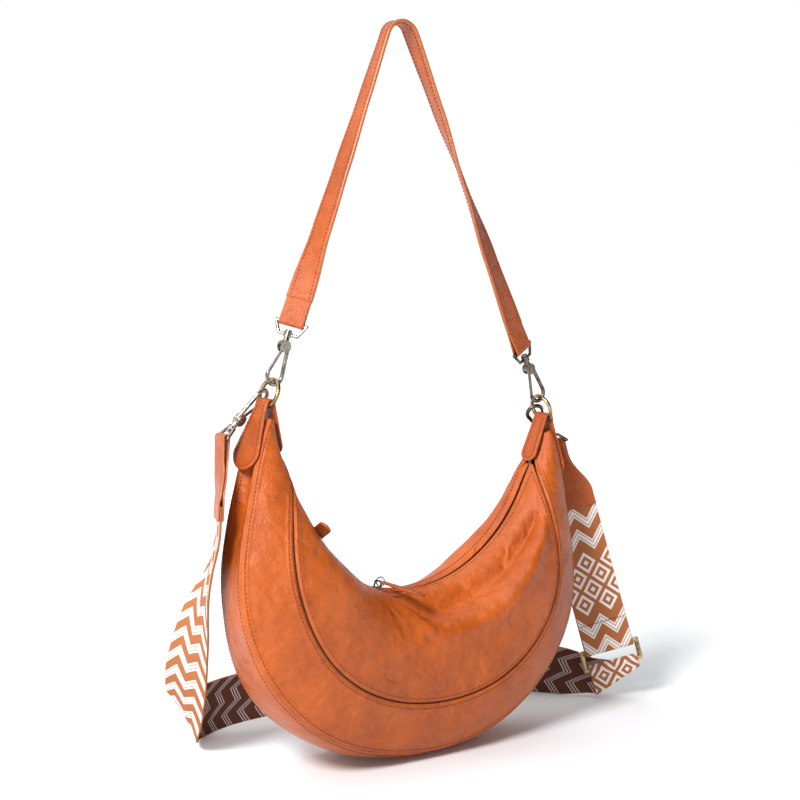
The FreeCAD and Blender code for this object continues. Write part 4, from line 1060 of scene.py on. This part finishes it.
ups = {s: lean_up(s, LEG[s]) for s in (-1, 1)}
cross = ups[-1][0] * ups[1][2] - ups[-1][2] * ups[1][0]
reach = {s: meet(bars[1] - bars[-1], ups[-s]) for s in (-1, 1)}
bend = math.pi - LEG[-1] - LEG[1]
cut_back = APEX_R * math.tan(bend / 2)
inward = -np.array([-ups[-1][2], 0.0, ups[-1][0]])
arc_middle = bars[-1] + ups[-1] * (reach[-1] - cut_back) + inward * APEX_R
t = np.linspace(0.0, 1.0, LEG_ROWS)
legs, leg_w = {}, {}
for s in (-1, 1):
    high = reach[s] - cut_back
    legs[s] = bars[s] + ups[s] * (high + (LOOP_LEN - LOOP_OVERLAP - high) * t)[:, None]
    leg_w[s] = turned(ups[s], leg_turn(TURN[s], t))
f = np.linspace(0.0, 1.0, BEND_ROWS)[1:-1]
a = math.pi - LEG[-1] - bend * f
bend_path = arc_middle + np.stack([np.cos(a), 0.0 * a, np.sin(a)], -1) * APEX_R
bend_w = leg_w[-1][0] * (1.0 - f)[:, None] + leg_w[1][0] * f[:, None]
path = np.concatenate([legs[-1][::-1], bend_path, legs[1]])
widths = np.concatenate([leg_w[-1][::-1], bend_w, leg_w[1]])
face, out, coords = band_along(path, widths, STRAP_W, STRAP_T)
crown = CROWN * (1.0 - np.linspace(-1.0, 1.0, face.shape[1]) ** 2)
crowned = face + out * crown[None, :, None]
parts = [sheet(crowned, out, STRAP_T + 2 * STRAP_SWELL, coords, PAINTED)]
for s in (-1, 1):
    loop_face, loop_out, loop_uv = folded_loop(bars[s], ups[s], turned(ups[s], TURN[s][-1:])[0])
    parts.append(sheet(loop_face, loop_out, STRAP_PLY, loop_uv, PAINTED))
make("shoulder_strap_leather", parts, [strap_leather, edge_paint], "strap", ["shoulder_strap"])
rows = []
for sign, depth in ((1, 0.0), (-1, STRAP_T)):
    for column in (1, -2):
        n = out[:, column]
        rows.append(stitches(face[:, column] - n * depth + n * STRAP_STITCH_UP * sign, n * sign))
make("shoulder_strap_stitches", rows, [thread], "strap")

# %% [markdown]
# ## Leather tabs of the woven strap
# On each side a leather tab is folded round the bail of the lower hook and widens to hold the end
# of the weave between its plies. Its path runs down one ply, round the bail and back, and the
# width direction turns on the way, so one band makes the whole tab.

# %% Woven tabs
WEAVE_W, WEAVE_T, WEAVE_SLOT = 50.0, 2.0, 14.0
TAB_PLY, TAB_LEN, TAB_OVER, TAB_ROWS = 1.8, 74.0, 0.8, 50
NIP, NIP_FROM, NIP_TO = 0.85, (18.0, 30.0), (50.0, 59.0)
SEAT_AT, SEAT = math.radians(59.0), 9.4
HANG = {-1: unit(np.array([-0.738, 0.137, -0.66])), 1: unit(np.array([0.70, 0.20, -0.69]))}
TAB_DOWN = {-1: unit(np.array([-0.103, -0.049, -0.993])),
            1: unit(np.array([0.27, -0.09, -0.955]))}
FOOT_DIR = {-1: np.array([-0.5, -0.86, 0.0]), 1: np.array([0.72, -0.57, 0.40])}
CROSS_ROWS = (2, 34)
feet = {}


def woven_tab(side, name):
    """A tab from one foot round the bail to the other; feet keeps where the weave starts."""
    ring_dir = lean_up(side, RING_LEAN[side])
    spot = (ring_centre(side) - ring_dir * RING_R * math.cos(SEAT_AT)
            + Y_AXIS * RING_R * math.sin(SEAT_AT))
    bar = spot + HANG[side] * (BAIL_TOP - SEAT)
    down = TAB_DOWN[side]
    w_bar = unit(np.cross(down, HANG[side]))
    w_bar = -w_bar if w_bar[1] > 0 else w_bar
    w_foot = unit(FOOT_DIR[side] - down * np.dot(FOOT_DIR[side], down))
    start = 0.7 * LOOP_LEN
    open_n = WEAVE_T / 2 + TAB_PLY / 2 + 0.1
    z = np.linspace(TAB_LEN, start, TAB_ROWS)
    flat_n = open_n - NIP * ease(z, *NIP_FROM) * (1.0 - ease(z, *NIP_TO))
    loop = loop_path(BAIL_WIRE / 2 + FIT + TAB_PLY / 2, open_n, start)
    local_n = np.concatenate([flat_n[:-1], loop[:, 0], -flat_n[::-1][1:]])
    local_z = np.concatenate([z[:-1], loop[:, 1], z[::-1][1:]])
    share = ease((local_z - start + 1.5) / (TAB_LEN - start + 1.5), 0.0, 0.75)
    w = unit(w_bar * (1.0 - share)[:, None] + w_foot * share[:, None])
    path = bar + down * local_z[:, None] + unit(np.cross(w, down)) * local_n[:, None]
    width = STRAP_W + (WEAVE_W + TAB_OVER - STRAP_W) * share
    face, out, coords = band_along(path, w, width, TAB_PLY)
    label = "woven_tab_" + name
    made = [sheet(face, out, TAB_PLY, coords, PAINTED)]
    make(label + "_leather", made, [strap_leather, edge_paint], "bag", [label])
    lift = face + out * STITCH_UP
    count, last = len(z) - 1, len(path)
    places = [(part, column) for part in (slice(0, count), slice(last - count, last))
              for column in (1, -2)]
    places += [(row, slice(None)) for row in CROSS_ROWS]
    places += [(last - 1 - row, slice(None)) for row in CROSS_ROWS]
    rows = [stitches(lift[place], out[place], TAB_PITCH) for place in places]
    make(label + "_stitches", rows, [thread], "bag")
    feet[side] = (bar + down * TAB_LEN, down, w_foot)


woven_tab(-1, "left")
woven_tab(1, "right")

# %% [markdown]
# ## Short weave
# The right side is a short length of the weave that comes out of its tab and folds round the upper
# bar of a flat brass box ring. It hangs straight, so it is a band along a line that ends in the
# same teardrop as the leather loops, with a sewn hem above it.

# %% Short weave
BOX_WIRE, BOX_H, WEAVE_LOOP, SHORT_LEN, SHORT_ROWS = 5.0, 15.0, 20.0, 155.0, 60
SLOT_CLEAR, LOOP_EXTRA, FLAT_STOP, HEM_UP, HEM_PITCH = 0.5, 8.0, 9.0, 6.0, 3.0
SPREAD_FROM, SPREAD_TO = 60.0, 30.0
SHORT_PHASE, HEM_LIFT = 0.75, 0.2
WEAVE_COLUMNS = 21
MIDDLE = WEAVE_COLUMNS // 2
WEAVE_FINISHES, WOVEN = [weave_face, weave_back, weave_edge], (0, 2, 1)
weave_x = np.linspace(-0.5, 0.5, WEAVE_COLUMNS)

foot, down, w = feet[1]
front = -np.cross(w, down)
bar_r = BOX_WIRE / 2 + FIT + WEAVE_T / 2
loop = loop_path(bar_r, WEAVE_T / 2, WEAVE_LOOP + LOOP_EXTRA)
z = np.linspace(-WEAVE_SLOT + SLOT_CLEAR, SHORT_LEN - WEAVE_LOOP - FLAT_STOP, SHORT_ROWS)
flat_n = WEAVE_T / 2 * ease(z, SHORT_LEN - SPREAD_FROM, SHORT_LEN - SPREAD_TO)
local_n = np.concatenate([flat_n, loop[:, 0]])
local_z = np.concatenate([z, SHORT_LEN - loop[:, 1]])
path = foot + down * local_z[:, None] + front * local_n[:, None]
face, out, coords = band_along(path, np.broadcast_to(w, path.shape), WEAVE_W, WEAVE_T,
                               WEAVE_COLUMNS, -1.0)
coords[..., 1] += SHORT_PHASE * ZONE
made = [sheet(face, out, WEAVE_T, coords, WOVEN)]
make("weave_short_cloth", made, WEAVE_FINISHES, "bag", ["weave_short"])
hem = face[np.argmin(np.abs(z - (SHORT_LEN - WEAVE_LOOP - HEM_UP)))]
made = [stitches(hem + front * HEM_LIFT, np.broadcast_to(front, hem.shape), HEM_PITCH)]
make("weave_short_stitches", made, [thread], "bag")

# %% [markdown]
# ## Flap and crease
# The long weave starts round the lower bar of the box ring, hangs as a short flap and is creased
# on a slant, where it turns away to the back. A simulation would have to find that crease, so the
# rows are worked out: the loop, the flap down to the slanting line, and a tight arc.

# %% Flap and crease
FLAP_START, FLAP_DROP, FLAP_ROWS = 8.0, 18.0, 8
CREASE_R, CREASE_ROWS = 1.5, 9
CREASE_AWAY = unit(np.array([-0.39, 0.92, 0.0]))

low_bar = foot + down * SHORT_LEN + down * (BOX_H + BOX_WIRE)
loop = loop_path(bar_r, WEAVE_T / 2, FLAP_START)[::-1]
start = low_bar + front * loop[:, :1] + down * loop[:, 1:]
across = w * (WEAVE_W * weave_x)[None, :, None]
flap_top = low_bar + down * FLAP_START + front * (WEAVE_T / 2)
share = np.linspace(0.0, 1.0, FLAP_ROWS)[1:]
drop = (FLAP_DROP * (0.5 - weave_x))[None] * share[:, None]
flap = flap_top + across + down * drop[..., None]
crease_line = flap[-1]
crease = unit(crease_line[-1] - crease_line[0])
behind = unit(np.cross(crease, CREASE_AWAY))
behind = behind if behind[0] > 0 else -behind
ahead = np.cross(crease, front)
ahead = ahead if np.dot(ahead, down) > 0 else -ahead
angle = math.acos(np.clip(np.dot(front, behind), -1.0, 1.0))
turn = np.linspace(0.0, angle, CREASE_ROWS)[1:, None, None]
arc = (front * np.cos(turn) + ahead * np.sin(turn)) * CREASE_R
rows = [start[:, None] + across, flap, (crease_line - front * CREASE_R)[None] + arc]
print("crease turns", round(math.degrees(angle)), "degrees")

# %% [markdown]
# ## Long weave
# From the crease the weave runs round the back of the bag on edge and rises to the left tab. Its
# way is a smooth curve through a few stations, each a place, a width direction and a width, so the
# band twists as gently as it bends.

# %% Long weave
TURN_LEN, BAND_Z, BAND_ROWS, BLEND_ROWS = 12.0, 25.5, 300, 6
BAND_ROUTE = ((246, 56), (220, 88), (188, 112), (150, 132), (105, 152), (60, 165), (14, 172),
              (-33, 174), (-95, 168))
RISE_ROUTE = (((-140, 150, 26.5), (-0.1, 0.05, 1)), ((-173, 122, 34), (-0.35, 0.28, 0.89)),
              ((-192, 94, 66), (-0.42, 0.35, 0.84)), ((-205, 60, 125), (-0.1, 0.75, 0.6)))
TAB_ROUTE = ((45.0, 8.0), (15.0, 0.0), (-13.0, 0.0))


def through(points, count):
    """Smooth curve through points: a cubic in the chord length with slopes from the neighbours."""
    p = np.asarray(points, float)
    chords = np.linalg.norm(np.diff(p[:, :3], axis=0), axis=1)
    u = np.concatenate([[0.0], np.cumsum(chords)])
    slope = np.gradient(p, u, axis=0)
    at = np.linspace(0.0, u[-1], count)
    i = np.clip(np.searchsorted(u, at) - 1, 0, len(u) - 2)
    h = (u[i + 1] - u[i])[:, None]
    return hermite((at - u[i])[:, None] / h, h, p[i], p[i + 1], slope[i], slope[i + 1])


edge = rows[-1][-1]
along = edge[-1] - edge[0]
rise = along - CREASE_AWAY * np.dot(along, CREASE_AWAY)
middle = edge[0] + CREASE_AWAY * TURN_LEN + rise * 0.5
left_foot, left_down, left_w = feet[-1]
stations = [(*middle, *unit(rise), np.linalg.norm(rise))]
stations += [(*place, BAND_Z, 0.0, 0.0, 1.0, WEAVE_W) for place in BAND_ROUTE]
stations += [(*place, *width, WEAVE_W) for place, width in RISE_ROUTE]
stations += [(*(left_foot + left_down * below + Y_AXIS * back), *-left_w, WEAVE_W)
             for below, back in TAB_ROUTE]
curve = through(stations, BAND_ROWS)
face = band_along(curve[:, :3], curve[:, 3:6], curve[:, 6], 0.0, WEAVE_COLUMNS, -1.0)[0]
share = np.linspace(0.0, 1.0, BLEND_ROWS)[1:-1, None, None]
grid = np.concatenate([*rows, edge[None] * (1.0 - share) + face[0][None] * share, face])
out = -normals(grid)
out = out * np.sign(np.sum(out[len(start) + 3, MIDDLE] * front))
lengths = run_length(grid, 0) / WEAVE_W + CHEVRON_SHARE * ZONE
coords = np.stack(np.broadcast_arrays(weave_x[None] + 0.5, lengths), -1)
outer = grid + out[:, MIDDLE:MIDDLE + 1] * (WEAVE_T / 2)
made = [sheet(outer, out, WEAVE_T, coords, WOVEN, FLOOR_CLEAR)]
make("weave_long_cloth", made, WEAVE_FINISHES, "bag", ["weave_long"])

# %% [markdown]
# ## Metal
# Rings, hooks, sliders and the box ring keep their exact CAD shapes, because metal is where real
# sizes matter. They only need finishes: worn brass on the rings, and one worn metal for the rest,
# lighter on the left hooks as painted light and darker elsewhere as painted shade.

# %% Metal finishes
METAL_WORDS = ("hook", "ring_", "box_ring", "slider", "link", "stops")


def finish_of(node):
    """Finish of a metal node, by its name."""
    if node.startswith("ring_") or node == "box_ring":
        return antique_brass
    # The left hooks take the lighter copy of the metal, with painted light; all else takes the
    # darker copy, with painted shade.
    if node.startswith(("shoulder_left", "woven_left")):
        return painted_lit_metal
    return painted_shade_metal


shown = [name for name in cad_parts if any(word in name for word in METAL_WORDS)]
for name in shown:
    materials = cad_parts[name].data.materials
    materials.clear()
    materials.append(finish_of(name))
print("metal pieces:", len(shown))
